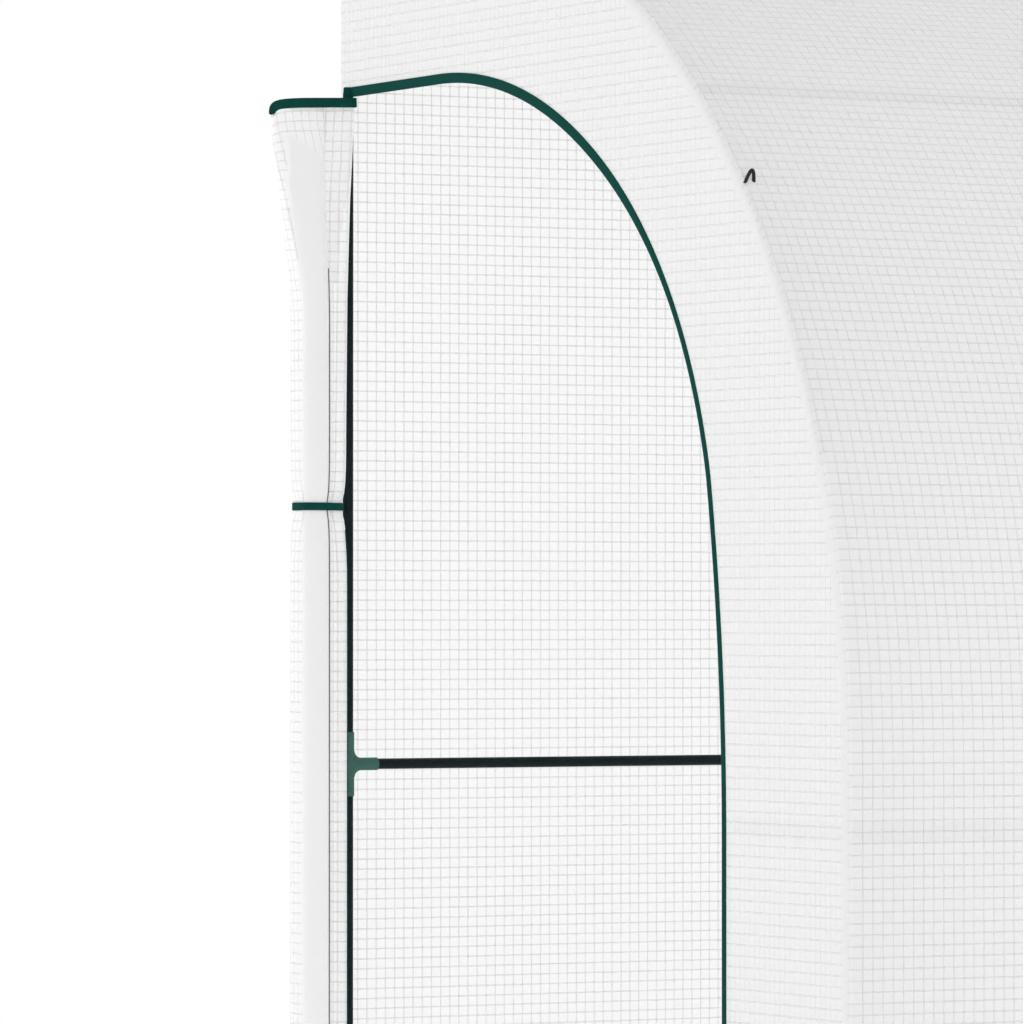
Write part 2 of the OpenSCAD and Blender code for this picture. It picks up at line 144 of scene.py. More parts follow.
class DoorSettings(bpy.types.PropertyGroup):
    """The doorway at each end, its binding and the door rolled aside"""

    gable_h: length("Gable", "Height of the cover over the doorway", 0.285)
    side_panel: length("Side panel", "Width of the cover between the doorway and the front", 0.341)
    level: share("Level", "Level stretch of the doorway's top, by its width", 0.276)
    crown: share("Crown", "Radius of the first stretch of the curve, by its width", 0.749)
    crown_angle: angle("Crown angle", "Angle where the first stretch ends", 36.0)
    shoulder: share("Shoulder", "Radius of the second stretch, by its width", 0.637)
    shoulder_angle: angle("Shoulder angle", "Angle where the second stretch ends", 77.0)
    side: share("Side", "Radius of the long stretch, by its width", 2.411)
    binding_w: length("Binding width", "Width of the binding over the doorway", 0.015)
    binding_t: length("Binding thickness", "Thickness of the binding", 0.0034)
    binding_lift: length("Binding lift", "Height of the binding's middle over the sheet", 0.0002)
    binding_left: length("Binding end", "Where the binding turns down, from the back face", 0.034)
    edge_in: length("Edge lap", "Distance of the sheet's cut edge from the doorway's line", 0.00675)
    narrow_w: length("Narrow width", "Width of the binding down the doorway's side", 0.0097)
    narrow_z: length("Narrow top", "Height up to which the binding is narrow", 1.45)
    narrow_run: length("Narrow run", "Height over which it widens", 0.3)
    narrow_out: length("Narrow shift", "How far the narrow binding lies towards the front", 0.003)
    tape_turn: angle("Tape turn", "Turn of the folded tapes from the front towards the end", 28.1)
    fold_w: length("Fold width", "Width of the binding's folded end", 0.015)
    fold_t: length("Fold thickness", "Thickness of the binding's folded end", 0.003)
    roll_out: length("Roll out", "Distance of the roll's middle from the end", 0.0625)
    roll_back: length("Roll back", "Distance of the roll's middle from the back face", 0.031)
    roll_half: length("Roll half", "Half the roll's width", 0.0252)
    roll_pitch: length("Roll pitch", "Distance between two layers of the roll", 0.0019)
    roll_square: share("Roll squareness", "Power of the roll's rounded square", 4.6)
    flare_z: length("Flare foot", "Height where the roll starts to spread", 1.5)
    flare_top: length("Flare top", "Height of the spread top edge", 1.829)
    flare_out: length("Flare out", "Distance of the flattened roll's middle from the end", 0.092)
    flare_half: length("Flare half", "Half the flattened roll's width", 0.046)
    flare_thick: length("Flare thickness", "Half the flattened roll's thickness", 0.0065)
    flare_back: length("Flare back", "Distance of the flattened roll from the back face", 0.05)
    flare_square: share("Flare squareness", "Power of the flattened roll's rounded square", 2.4)
    opening_z: length("Opening fold", "Height of the slanting fold at the roll's back", 1.8666)
    opening_fall: length("Opening fall", "How far the slanting fold falls over one turn", 0.2)
    curl: length("Curl", "Drop of the outer end of the top edge", 0.018)
    top_w: length("Top tape width", "Width of the tape along the top edge", 0.0146)
    top_t: length("Top tape thickness", "Thickness of the tape along the top edge", 0.0042)
    strap_z: length("Strap height", "Height of the tie strap's middle", 1.227)
    strap_w: length("Strap width", "Width of the tie strap", 0.0118)
    strap_t: length("Strap thickness", "Thickness of the tie strap", 0.0014)
    strap_pull: length("Strap pull", "How far the strap pulls the door's edge out", 0.0085)
    strap_pinch: share("Strap pinch", "Share by which the strap narrows the roll", 0.15)
    loop_angle: angle("Loop angle", "Angle of the guy loop from the top of the bow", 51.25)
    loop_cord: length("Loop cord", "Diameter of the guy loop's cord", 0.005)


class FinishSettings(bpy.types.PropertyGroup):
    """Colours of the tubes, connectors, tapes and cord, and of the thin dark line that paints the shadow in
    the crease beside each rolled door
    """

    tube: colour("Tube", "Colour of the coated tubes", (0.0045, 0.0105, 0.0125))
    connector: colour("Connector", "Colour of the moulded connectors", (0.046, 0.128, 0.107))
    binding: colour("Binding", "Colour of the woven binding", (0.0038, 0.057, 0.0455))
    # Colour of the thin dark strip that paints the shadow in the crease beside each rolled door
    crease_shadow: colour("Crease shadow", "Colour of the painted shadow line in the crease beside a rolled door", (0.16, 0.175, 0.17))
    cord: colour("Cord", "Colour of the guy loops", (0.022, 0.022, 0.022))


class StageSettings(bpy.types.PropertyGroup):
    """The camera, the floor and the light of the surroundings"""

    camera: bpy.props.FloatVectorProperty(
        name="Camera", description="Place of the camera", default=(-6.170, -8.537, 1.064),
        subtype="TRANSLATION", unit="LENGTH",
    )
    turn: angle("Turn", "Direction of the camera about the upright axis", -28.14)
    tilt: angle("Tilt", "Rise of the camera over the level", 0.858)
    lens: bpy.props.FloatProperty(
        name="Lens", description="Focal length in millimetres", default=241.8, min=1.0
    )
    bounces: bpy.props.IntProperty(
        name="Bounces", description="How often light is followed from sheet to sheet", default=10, min=1
    )
    floor_r: length("Floor radius", "Radius of the floor", 6.0)
    floor_tone: colour("Floor", "Colour of the floor", (0.3, 0.3, 0.3))
    floor_glow: share("Floor glow", "Light that the floor gives off by itself", 0.75)
    back_light: share("Back light", "Light from behind the wall side", 1.45)
    front_light: share("Front light", "Light from the front", 1.055)
    end_light: share("End light", "Light from the two ends", 1.26)
    top_light: share("Top light", "Light from straight above", 0.38)


def smooth(t):
    """A soft step from 0 to 1"""
    t = np.clip(t, 0.0, 1.0)
    return t * t * (3 - 2 * t)


def unit(v):
    """The same directions with length one"""
    return v / np.linalg.norm(v, axis=-1, keepdims=True)


def read_off(x, line):
    """What a line of (place, value) points gives at x"""
    return np.interp(x, *np.transpose(line))


def stations(start, *stretches):
    """Places from start on, over stretches that each give their end and their number of steps"""
    parts = [np.array([start])]
    for end, steps in stretches:
        parts.append(np.linspace(parts[-1][-1], end, steps + 1)[1:])
    return np.concatenate(parts)


def places(first, pitch, low, high):
    """The places of threads at a pitch between two limits"""
    return first + pitch * np.arange(math.ceil((low - first) / pitch), math.floor((high - first) / pitch) + 1)


class Shape:
    """Lines and surfaces of the cover, taken from the settings"""

    def __init__(self, scene):
        self.c, self.d = scene.greenhouse_cover, scene.greenhouse_door
        c, d = self.c, self.d
        self.end_x = c.length / 2
        self.roof_r = c.depth - c.flat_top
        self.bow_y = c.depth / 2 - c.flat_top
        self.spring = c.height - self.roof_r
        self.back_y = c.depth / 2 - c.inset
        self.ridge_z = c.height - c.inset
        self.face_x = self.end_x - c.film_in
        self.straight = self.face_x - c.corner_x
        self.turn = self.straight + c.corner_x * math.pi / 2
        self.door_h = c.height - d.gable_h
        self.side_u = c.depth - d.side_panel
        self.door_w = self.side_u - c.inset
        self.lengths = np.cumsum([
            c.lip,
            math.pi / 2 * (c.inset - c.film_in),
            self.back_y - self.bow_y,
            math.pi / 2 * (self.roof_r - c.film_in),
            self.spring - c.hem_z,
        ])

    def upper_end(self):
        """The length down the long sheet where the upper part of the bow ends"""
        _, _, flat, bow, _ = self.lengths
        return flat + self.c.upper_bow * (bow - flat)

    def section(self, s):
        """The long sheet's line in (y, z) and its normals, at the lengths s from its back lip"""
        s = np.asarray(s, float)
        lip, corner, flat, bow, _ = self.lengths
        small, large = self.c.inset - self.c.film_in, self.roof_r - self.c.film_in
        a = np.clip((s - lip) / small, 0, math.pi / 2)
        b = np.clip((s - flat) / large, 0, math.pi / 2)
        along = np.clip(s - corner, 0, flat - corner)
        rise = np.minimum(s - lip, 0)
        fall = np.maximum(s - bow, 0)
        on_bow = s > flat
        y = np.where(on_bow, self.bow_y - large * np.sin(b), self.back_y + small * np.cos(a) - along)
        z = np.where(on_bow, self.spring + large * np.cos(b) - fall, self.ridge_z + small * np.sin(a) + rise)
        ny = np.where(on_bow, -np.sin(b), np.cos(a))
        nz = np.where(on_bow, np.cos(b), np.sin(a))
        return y, z, ny, nz

    def corner_in(self, past):
        """How deep the end corner turns in, tighter near the back, past the back edge of the roof"""
        c = self.c
        return c.corner_tight + (c.corner_d - c.corner_tight) * smooth(past / c.corner_run)

    def sink(self, x):
        """How far the sheet has sunk between two bows at x"""
        c = self.c
        inside = np.clip(x, -c.frame_x, c.frame_x) + c.frame_x
        return c.sag * np.sin(math.pi * inside * c.bays / (2 * c.frame_x)) ** 2

    def long_points(self, s, e, lift=0.0):
        """Points and normals of the long sheet at lengths s down it and e along it, round the corners"""
        s, e = np.broadcast_arrays(np.asarray(s, float), np.asarray(e, float))
        run, deep = self.c.corner_x, self.corner_in(s - self.lengths[1])
        side = np.sign(e)
        phi = np.clip((np.abs(e) - self.straight) / run, 0, math.pi / 2)
        x = side * (np.minimum(np.abs(e), self.straight) + run * np.sin(phi))
        y, z, ny, nz = self.section(s)
        inward = deep * (1 - np.cos(phi)) + self.sink(x)
        end, front = deep * np.sin(phi), run * np.cos(phi)
        n = unit(np.stack([side * end, ny * front, nz * front], -1))
        p = np.stack([x, y - ny * inward, z - nz * inward], -1)
        return p + lift * n, n

    def back_points(self, e, z):
        """Points and normals of the back sheet, e from mid length round the end posts"""
        e, z = np.broadcast_arrays(np.asarray(e, float), np.asarray(z, float))
        c = self.c
        r = c.inset - c.film_in
        side = np.sign(e)
        phi = np.clip((np.abs(e) - c.frame_x) / r, 0, math.pi / 2)
        n = np.stack([side * np.sin(phi), np.cos(phi), np.zeros_like(z)], -1)
        x = side * (np.minimum(np.abs(e), c.frame_x) + r * np.sin(phi))
        return np.stack([x, self.back_y + r * np.cos(phi), z], -1), n

    def end_points(self, side, u, z, lift=0.0):
        """Points and normals of an end sheet, u from the back face"""
        u, z = np.broadcast_arrays(np.asarray(u, float), np.asarray(z, float))
        x = np.full_like(u, side * (self.face_x + lift))
        n = np.zeros(u.shape + (3,))
        n[..., 0] = side
        return np.stack([x, self.c.depth / 2 - u, z], -1), n

    def arch_u(self, z, inward):
        """The end's front limit at the height z, moved in from the sheet's line"""
        r = self.roof_r - self.c.film_in - inward
        rise = np.clip(np.asarray(z, float) - self.spring, 0, r)
        return self.c.flat_top + np.sqrt(r * r - rise * rise)

    def arch_z(self, u, inward):
        """The end's upper limit at u, moved in from the sheet's line"""
        r = self.roof_r - self.c.film_in - inward
        run = np.clip(np.asarray(u, float) - self.c.flat_top, 0, r)
        return self.spring + np.sqrt(r * r - run * run)

    def doorway(self, grow, steps=40):
        """The doorway's outline in (u, z) from the level top to the ground, moved out by grow"""
        c, d, w = self.c, self.d, self.door_w
        crown, shoulder, side = d.crown * w, d.shoulder * w, d.side * w
        crown_c = np.array([c.inset + d.level * w, self.door_h - crown])
        lean = np.array([math.sin(d.crown_angle), math.cos(d.crown_angle)])
        shoulder_c = crown_c + (crown - shoulder) * lean
        low = np.array([math.sin(d.shoulder_angle), math.cos(d.shoulder_angle)])
        end = shoulder_c + shoulder * low
        across = end[0] - self.side_u + side
        side_c = np.array([self.side_u - side, end[1] - math.sqrt(side * side - across * across)])
        from_angle = math.atan2(end[0] - side_c[0], end[1] - side_c[1])
        line = []
        for centre, r, a0, a1 in (
            (crown_c, crown, 0.0, d.crown_angle),
            (shoulder_c, shoulder, d.crown_angle, d.shoulder_angle),
            (side_c, side, from_angle, math.pi / 2),
        ):
            a = np.linspace(a0, a1, steps)
            line.append(centre + (r + grow) * np.stack([np.sin(a), np.cos(a)], -1))
        line.append(np.array([[self.side_u + grow, c.hem_z]]))
        return np.concatenate(line)

    def door_u(self, z, grow):
        """The doorway's side limit at the height z"""
        line = self.doorway(grow)[::-1]
        return np.interp(z, line[:, 1], line[:, 0])

    def door_z(self, u, grow):
        """The doorway's upper limit at u"""
        line = self.doorway(grow)
        return np.interp(u, line[:, 0], line[:, 1], left=self.door_h + grow)


def grid(points, wrap=False):
    """Vertices and quads of a grid of points, rows by columns"""
    rows, cols = points.shape[:2]
    index = np.arange(rows * cols).reshape(rows, cols)
    if wrap:
        index = np.concatenate([index, index[:, :1]], 1)
    a, b = index[:-1, :-1], index[:-1, 1:]
    c, d = index[1:, 1:], index[1:, :-1]
    return points.reshape(-1, 3), np.stack([a, b, c, d], -1).reshape(-1, 4)


def closed_tube(rings):
    """Vertices and faces of a tube of rings, closed at both ends"""
    verts, faces = grid(rings, wrap=True)
    n = rings.shape[1]
    caps = [list(range(n))[::-1], list(range(len(verts) - n, len(verts)))]
    return verts, [list(f) for f in faces] + caps


def join(parts):
    """One list of vertices and faces from several"""
    verts, faces, base = [], [], 0
    for v, f in parts:
        verts.append(v)
        faces.append(np.asarray(f) + base)
        base += len(v)
    return np.concatenate(verts), np.concatenate(faces)


def thread_bars(lines, width, height):
    """A slim bar along each line of points and normals, half of it on each side of the sheet"""
    parts = []
    for p, n in lines:
        side = np.cross(n, unit(np.gradient(p, axis=0))) * width / 2
        out = n * height / 2
        parts.append(grid(np.stack([p + side, p + out, p - side, p - out], 1), wrap=True))
    return join(parts)


def tape(path, across, out, width, thick, corner=0.0009, taper=1.0, steps=3):
    """A tape swept along a path, its width along across and its thickness along out, with its UVs"""
    across, out = (np.broadcast_to(v, path.shape) for v in (across, out))
    ring = []
    for k, (sx, sy) in enumerate(((1, 1), (-1, 1), (-1, -1), (1, -1))):
        for i in range(steps + 1):
            a = math.pi / 2 * (k + i / steps)
            ring.append((
                sx * (width / 2 - corner) + corner * math.cos(a),
                sy * (thick / 2 - corner) + corner * math.sin(a),
            ))
    ring = np.array(ring)
    across = unit(across) * np.broadcast_to(taper, len(path))[:, None]
    rings = path[:, None] + ring[None, :, :1] * across[:, None] + ring[None, :, 1:] * unit(out)[:, None]
    run = np.concatenate([[0], np.cumsum(np.linalg.norm(np.diff(path, axis=0), axis=1))])
    uv = np.stack(np.broadcast_arrays(run[:, None], ring[None, :, 0]), -1).reshape(-1, 2)
    return *closed_tube(rings), uv


def add_piece(name, verts, faces, materials, slot, replaces=(), uv=None, face_slots=None):
    """A mesh of the object that stands on the root body"""
    mesh = bpy.data.meshes.new(name)
    mesh.from_pydata(np.asarray(verts).tolist(), [], [list(map(int, f)) for f in faces])
    for m in materials:
        mesh.materials.append(m)
    mesh.polygons.foreach_set("use_smooth", [True] * len(mesh.polygons))
    if face_slots is not None:
        mesh.polygons.foreach_set("material_index", [int(i) for i in face_slots])
    if uv is not None:
        layer = mesh.uv_layers.new(name="tape")
        corners = np.empty(len(mesh.loops), dtype=np.int32)
        mesh.loops.foreach_get("vertex_index", corners)
        layer.data.foreach_set("uv", np.asarray(uv, np.float32)[corners].ravel())
    mesh.update()
    piece = bpy.data.objects.new(name, mesh)
    bpy.context.scene.collection.objects.link(piece)
    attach(piece, "root")
    if replaces:
        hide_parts(*replaces)
    return piece


def add_cover(name, mesh, finish, replaces=()):
    """A piece of the cover with the finish named"""
    return add_piece(name, *mesh, [cover_material(finish)], "cover", replaces)


def add_tape(name, strip, material, replaces=()):
    """A piece of binding from the vertices, faces and UVs of a tape"""
    verts, faces, uv = strip
    return add_piece(name, verts, faces, [material], "binding", replaces, uv)


def fill(tree, node, inputs):
    """Give each input named its value, or a link from the socket given"""
    for key, value in inputs.items():
        if isinstance(value, bpy.types.NodeSocket):
            tree.links.new(value, node.inputs[key])
        else:
            node.inputs[key].default_value = value
    return node


def add_node(tree, kind, inputs=None, **settings):
    """A node with its settings and inputs"""
    node = tree.nodes.new(kind)
    for key, value in settings.items():
        setattr(node, key, value)
    return fill(tree, node, inputs or {})


def math_node(tree, operation, *values):
    """What a math node gives for values or sockets"""
    return add_node(tree, "ShaderNodeMath", dict(enumerate(values)), operation=operation).outputs[0]


def tinted(tree, tint, amount):
    """A colour made lighter or darker by an amount"""
    return add_node(tree, "ShaderNodeVectorMath", {0: tint, "Scale": amount}, operation="SCALE").outputs[0]


def bumped(tree, strength, distance, height):
    """A normal that follows a height"""
    values = {"Strength": strength, "Distance": distance, "Height": height}
    return add_node(tree, "ShaderNodeBump", values).outputs["Normal"]


def noise(tree, scale, detail):
    """Noise over the object's own coordinates"""
    where = add_node(tree, "ShaderNodeTexCoord").outputs["Object"]
    values = {"Vector": where, "Scale": scale, "Detail": detail}
    return add_node(tree, "ShaderNodeTexNoise", values).outputs["Fac"]


def new_group(name, inputs, outputs):
    """An empty shader node group with the sockets given, and its input and output nodes"""
    tree = bpy.data.node_groups.new(name, "ShaderNodeTree")
    for label, kind, default in inputs:
        socket = tree.interface.new_socket(name=label, in_out="INPUT", socket_type=kind)
        socket.default_value = default
    for label, kind in outputs:
        tree.interface.new_socket(name=label, in_out="OUTPUT", socket_type=kind)
    return tree, tree.nodes.new("NodeGroupInput").outputs, tree.nodes.new("NodeGroupOutput")


def tone_group():
    """Slow and fine unevenness of a sheet: its colour and its normal"""
    if "Sheet tone" in bpy.data.node_groups:
        return bpy.data.node_groups["Sheet tone"]
    tree, given, out = new_group(
        "Sheet tone",
        [("Colour", "NodeSocketColor", (0.9, 0.9, 0.9, 1)), ("Amount", "NodeSocketFloat", 0.01),
         ("Bump", "NodeSocketFloat", 0.1)],
        [("Colour", "NodeSocketColor"), ("Normal", "NodeSocketVector")],
    )
    slow = math_node(tree, "SUBTRACT", noise(tree, 4.0, 3.0), 0.5)
    amount = math_node(tree, "MULTIPLY_ADD", slow, given["Amount"], 1.0)
    fill(tree, out, {
        "Colour": tinted(tree, given["Colour"], amount),
        "Normal": bumped(tree, given["Bump"], 0.0002, noise(tree, 900.0, 1.0)),
    })
    return tree


def weave_group():
    """A woven tape with two rows of stitches, by its UVs in metres: colour and normal"""
    if "Woven tape" in bpy.data.node_groups:
        return bpy.data.node_groups["Woven tape"]
    stitch_half, stitch_length, stitch_gap = 0.0006, 0.0018, 0.0005
    tree, given, out = new_group(
        "Woven tape",
        [("Colour", "NodeSocketColor", (0.01, 0.06, 0.05, 1)), ("Stitch row", "NodeSocketFloat", 0.0045)],
        [("Colour", "NodeSocketColor"), ("Normal", "NodeSocketVector")],
    )
    uv = add_node(tree, "ShaderNodeUVMap", uv_map="tape").outputs["UV"]
    split = add_node(tree, "ShaderNodeSeparateXYZ", {0: uv}).outputs
    weave = add_node(
        tree, "ShaderNodeTexWave", {"Scale": 260.0, "Distortion": 1.5, "Vector": uv},
        wave_type="BANDS", bands_direction="DIAGONAL",
    ).outputs["Fac"]
    from_middle = math_node(tree, "ABSOLUTE", split["Y"])
    on_row = math_node(tree, "COMPARE", from_middle, given["Stitch row"], stitch_half)
    beat = math_node(tree, "PINGPONG", split["X"], stitch_length)
    dash = math_node(tree, "GREATER_THAN", beat, stitch_gap)
    stitch = math_node(tree, "MULTIPLY", on_row, dash)
    height = math_node(tree, "MULTIPLY_ADD", weave, 0.5, stitch)
    shade = math_node(tree, "MULTIPLY_ADD", weave, 0.22, 0.89)
    fill(tree, out, {
        "Colour": tinted(tree, given["Colour"], shade),
        "Normal": bumped(tree, 0.35, 0.0003, height),
    })
    return tree


def coat_group():
    """The fine grain of a coated or moulded surface: roughness and normal"""
    if "Coat grain" in bpy.data.node_groups:
        return bpy.data.node_groups["Coat grain"]
    tree, given, out = new_group(
        "Coat grain",
        [("Roughness", "NodeSocketFloat", 0.5), ("Scale", "NodeSocketFloat", 700.0),
         ("Bump", "NodeSocketFloat", 0.15)],
        [("Roughness", "NodeSocketFloat"), ("Normal", "NodeSocketVector")],
    )
    grain = noise(tree, given["Scale"], 2.0)
    fill(tree, out, {
        "Roughness": math_node(tree, "MULTIPLY_ADD", grain, 0.12, given["Roughness"]),
        "Normal": bumped(tree, given["Bump"], 0.0002, grain),
    })
    return tree


def new_material(name):
    """An empty node material, its tree and its output"""
    mat = bpy.data.materials.new(name)
    mat.use_nodes = True
    mat.node_tree.nodes.clear()
    return mat, mat.node_tree, mat.node_tree.nodes.new("ShaderNodeOutputMaterial")


def material(name, group, given, fixed, passes=0.0):
    """A surface that takes what a node group puts out, with a share of its light let through, scattered"""
    if name in bpy.data.materials:
        return bpy.data.materials[name]
    mat, tree, out = new_material(name)
    made = add_node(tree, "ShaderNodeGroup", given, node_tree=group).outputs
    taken = {"Base Color" if socket.name == "Colour" else socket.name: socket for socket in made}
    surface = add_node(tree, "ShaderNodeBsdfPrincipled", {**fixed, **taken}).outputs[0]
    if passes > 0:
        through = add_node(tree, "ShaderNodeBsdfTranslucent", {"Color": made["Colour"]}).outputs[0]
        surface = add_node(tree, "ShaderNodeMixShader", {"Fac": passes, 1: surface, 2: through}).outputs[0]
    fill(tree, out, {"Surface": surface})
    return mat


def sheet_material(name, reflects, passes, bump=0.1):
    """White scattering film: what it sends back and what it lets through"""
    white = reflects + passes
    given = {"Colour": (white, white, white, 1), "Amount": 0.012, "Bump": bump}
    fixed = {"Roughness": 0.62, "Specular IOR Level": 0.12}
    return material(name, tone_group(), given, fixed, passes / white)


def tape_material(name, tint, stitch_row):
    """Woven tape with two rows of stitches at a distance from its middle"""
    given = {"Colour": (*tint, 1), "Stitch row": stitch_row}
    return material(name, weave_group(), given, {"Roughness": 0.85, "Specular IOR Level": 0.05})


def coat_material(name, tint, roughness, scale, bump, shine):
    """A coated, moulded or braided surface with a fine grain"""
    given = {"Roughness": roughness, "Scale": scale, "Bump": bump}
    return material(name, coat_group(), given, {"Base Color": (*tint, 1), "Specular IOR Level": shine})


def cover_material(finish):
    """The finish of a part of the cover, by its name"""
    c = bpy.context.scene.greenhouse_cover
    thread_bump = 0.3
    values = {
        "cover film": (*c.film,),
        "back film": (*c.back_film,),
        "cover thread": (*c.thread, thread_bump),
        "end thread": (*c.end_thread, thread_bump),
        "doubled band": (*c.band,),
        "bow shade layer": (*c.bow_shade,),
    }
    return sheet_material(finish, *values[finish])


def binding():
    """The dark woven tape of the doorways, the doors and the straps"""
    return tape_material("binding tape", bpy.context.scene.greenhouse_finish.binding, 0.0045)


class GREENHOUSE_OT_frame(bpy.types.Operator):
    """Give the tubes and the moulded connectors their finish, and let the light pass them by"""

    bl_idname = "greenhouse.frame"
    bl_label = "Finish the frame"

    def execute(self, context):
        f = context.scene.greenhouse_finish
        tube = coat_material("coated tube", f.tube, roughness=0.42, scale=900.0, bump=0.12, shine=0.12)
        moulded = coat_material(
            "moulded connector", f.connector, roughness=0.45, scale=420.0, bump=0.1, shine=0.12
        )
        for names, mat in ((TUBES, tube), (CONNECTORS, moulded)):
            for name in names:
                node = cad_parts[name]
                node.data.materials.clear()
                node.data.materials.append(mat)
                node.visible_diffuse = False
                node.visible_shadow = False
                node.visible_transmission = False
        return {"FINISHED"}


class GREENHOUSE_OT_long_cover(bpy.types.Operator):
    """Stretch the sheet over the roof, the bow and the front, with its threads and bands, and cloth layers
    over the end bows that paint their shade
    """

    bl_idname = "greenhouse.long_cover"
    bl_label = "Stretch the long cover"

    def execute(self, context):
        c, shape = context.scene.greenhouse_cover, Shape(context.scene)
        lip, corner, flat, bow, end = shape.lengths
        down = stations(0.0, (lip, 2), (corner, 6), (flat, 6), (bow, 72), (end, 16))
        straight = np.linspace(-shape.straight, shape.straight, 61)
        turn = np.linspace(shape.straight, shape.turn, 8)[1:]
        along = np.concatenate([-turn[::-1], straight, turn])
        points, _ = shape.long_points(down[:, None], along[None, :])
        sheet = add_cover(
            "long_sheet", grid(points), "cover film", ("roof_cover", "bowed_cover", "front_skirt")
        )
        bars = thread_bars(self.lines(shape), c.thread_w, c.thread_h)
        threads = add_cover("long_threads", bars, "cover thread")
        # Cloth layers over the end bows: painted shade in place of the bows' own shade
        shade_bows = add_cover("bow_shade_sheets", join(self.shade_bows(shape, down)), "bow shade layer")
        bands = add_cover("long_bands", join(self.bands(shape, straight)), "doubled band")
        return {"FINISHED"}

    def lines(self, shape):
        """The sheet's threads: down it, and along it into the corners"""
        c = shape.c
        _, corner, flat, bow, end = shape.lengths
        run = stations(corner, (flat, 2), (bow, 56), (end, 2))
        upper = run[run < shape.upper_end()]
        limit = shape.straight + c.thread_over
        lines = []
        for x in places(c.long_x, c.long_pitch, -limit, limit):
            down = run if abs(x) < shape.straight else upper
            lines.append(shape.long_points(down, np.full_like(down, x)))
        part = np.linspace(0, c.thread_turn * (shape.turn - shape.straight), 4)[1:] + shape.straight
        along = np.concatenate([-part[::-1], np.linspace(-shape.straight, shape.straight, 37), part])
        for level in places(bow + c.long_s, c.pitch, corner, end):
            lines.append(shape.long_points(np.full_like(along, level), along))
        return lines

    def bands(self, shape, straight):
        """Doubled cloth over the purlin and the rail, along the lower edge and along the ridge"""
        c = shape.c
        _, corner, flat, bow, end = shape.lengths
        purlin = flat + c.purlin * (shape.roof_r - c.film_in)
        rail = bow + shape.spring - c.rail_z
        parts = []
        for middle, width in (
            (purlin, c.band_w), (rail, c.band_w),
            (end - c.hem_band / 2, c.hem_band), (corner + c.ridge_band, c.band_w),
        ):
            across = np.linspace(middle - width / 2, middle + width / 2, 5)
            parts.append(grid(shape.long_points(across[:, None], straight[None, :], -c.band_in)[0]))
        return parts

    def shade_bows(self, shape, down):
        """Two layers of cloth round each end bow, the inner one over its upper part alone, that paint the
        shade of the bow, which itself lets all light pass
        """
        c = shape.c
        _, corner, _, _, end = shape.lengths
        parts = []
        for side in ENDS.values():
            for first, last, low, layer in ((0.5, 1.57, end, 1), (0.3, 1.15, shape.upper_end(), 2)):
                round_bow = side * (shape.straight + c.corner_x * np.linspace(first, last, 7))
                length_of = down[(down > corner + c.corner_run) & (down <= low)]
                points, _ = shape.long_points(length_of[:, None], round_bow[None, :], -layer * c.band_in)
                parts.append(grid(points))
        return parts


class GREENHOUSE_OT_back_cover(bpy.types.Operator):
    """Stretch the back sheet and turn it round the end posts, with its threads"""

    bl_idname = "greenhouse.back_cover"
    bl_label = "Stretch the back cover"

    def execute(self, context):
        c, shape = context.scene.greenhouse_cover, Shape(context.scene)
        wrap = (c.inset - c.film_in) * math.pi / 2
        turn = c.frame_x + np.linspace(0, wrap, 8)[1:]
        e = np.concatenate([-turn[::-1], np.linspace(-c.frame_x, c.frame_x, 41), turn])
        z = np.linspace(c.hem_z, shape.ridge_z, 31)
        points, _ = shape.back_points(e[None, :], z[:, None])
        sheet = add_cover("back_sheet", grid(points), "back film", ("back_cover",))
        lines = []
        upright = np.linspace(c.hem_z, shape.ridge_z, 3)
        for x in places(c.back_x, c.long_pitch, -c.frame_x, c.frame_x):
            lines.append(shape.back_points(np.full_like(upright, x), upright))
        for level in places(c.back_z, c.pitch, c.hem_z, shape.ridge_z):
            lines.append(shape.back_points(e, np.full_like(e, level)))
        threads = add_cover("back_threads", thread_bars(lines, c.thread_w, c.thread_h), "cover thread")
        return {"FINISHED"}


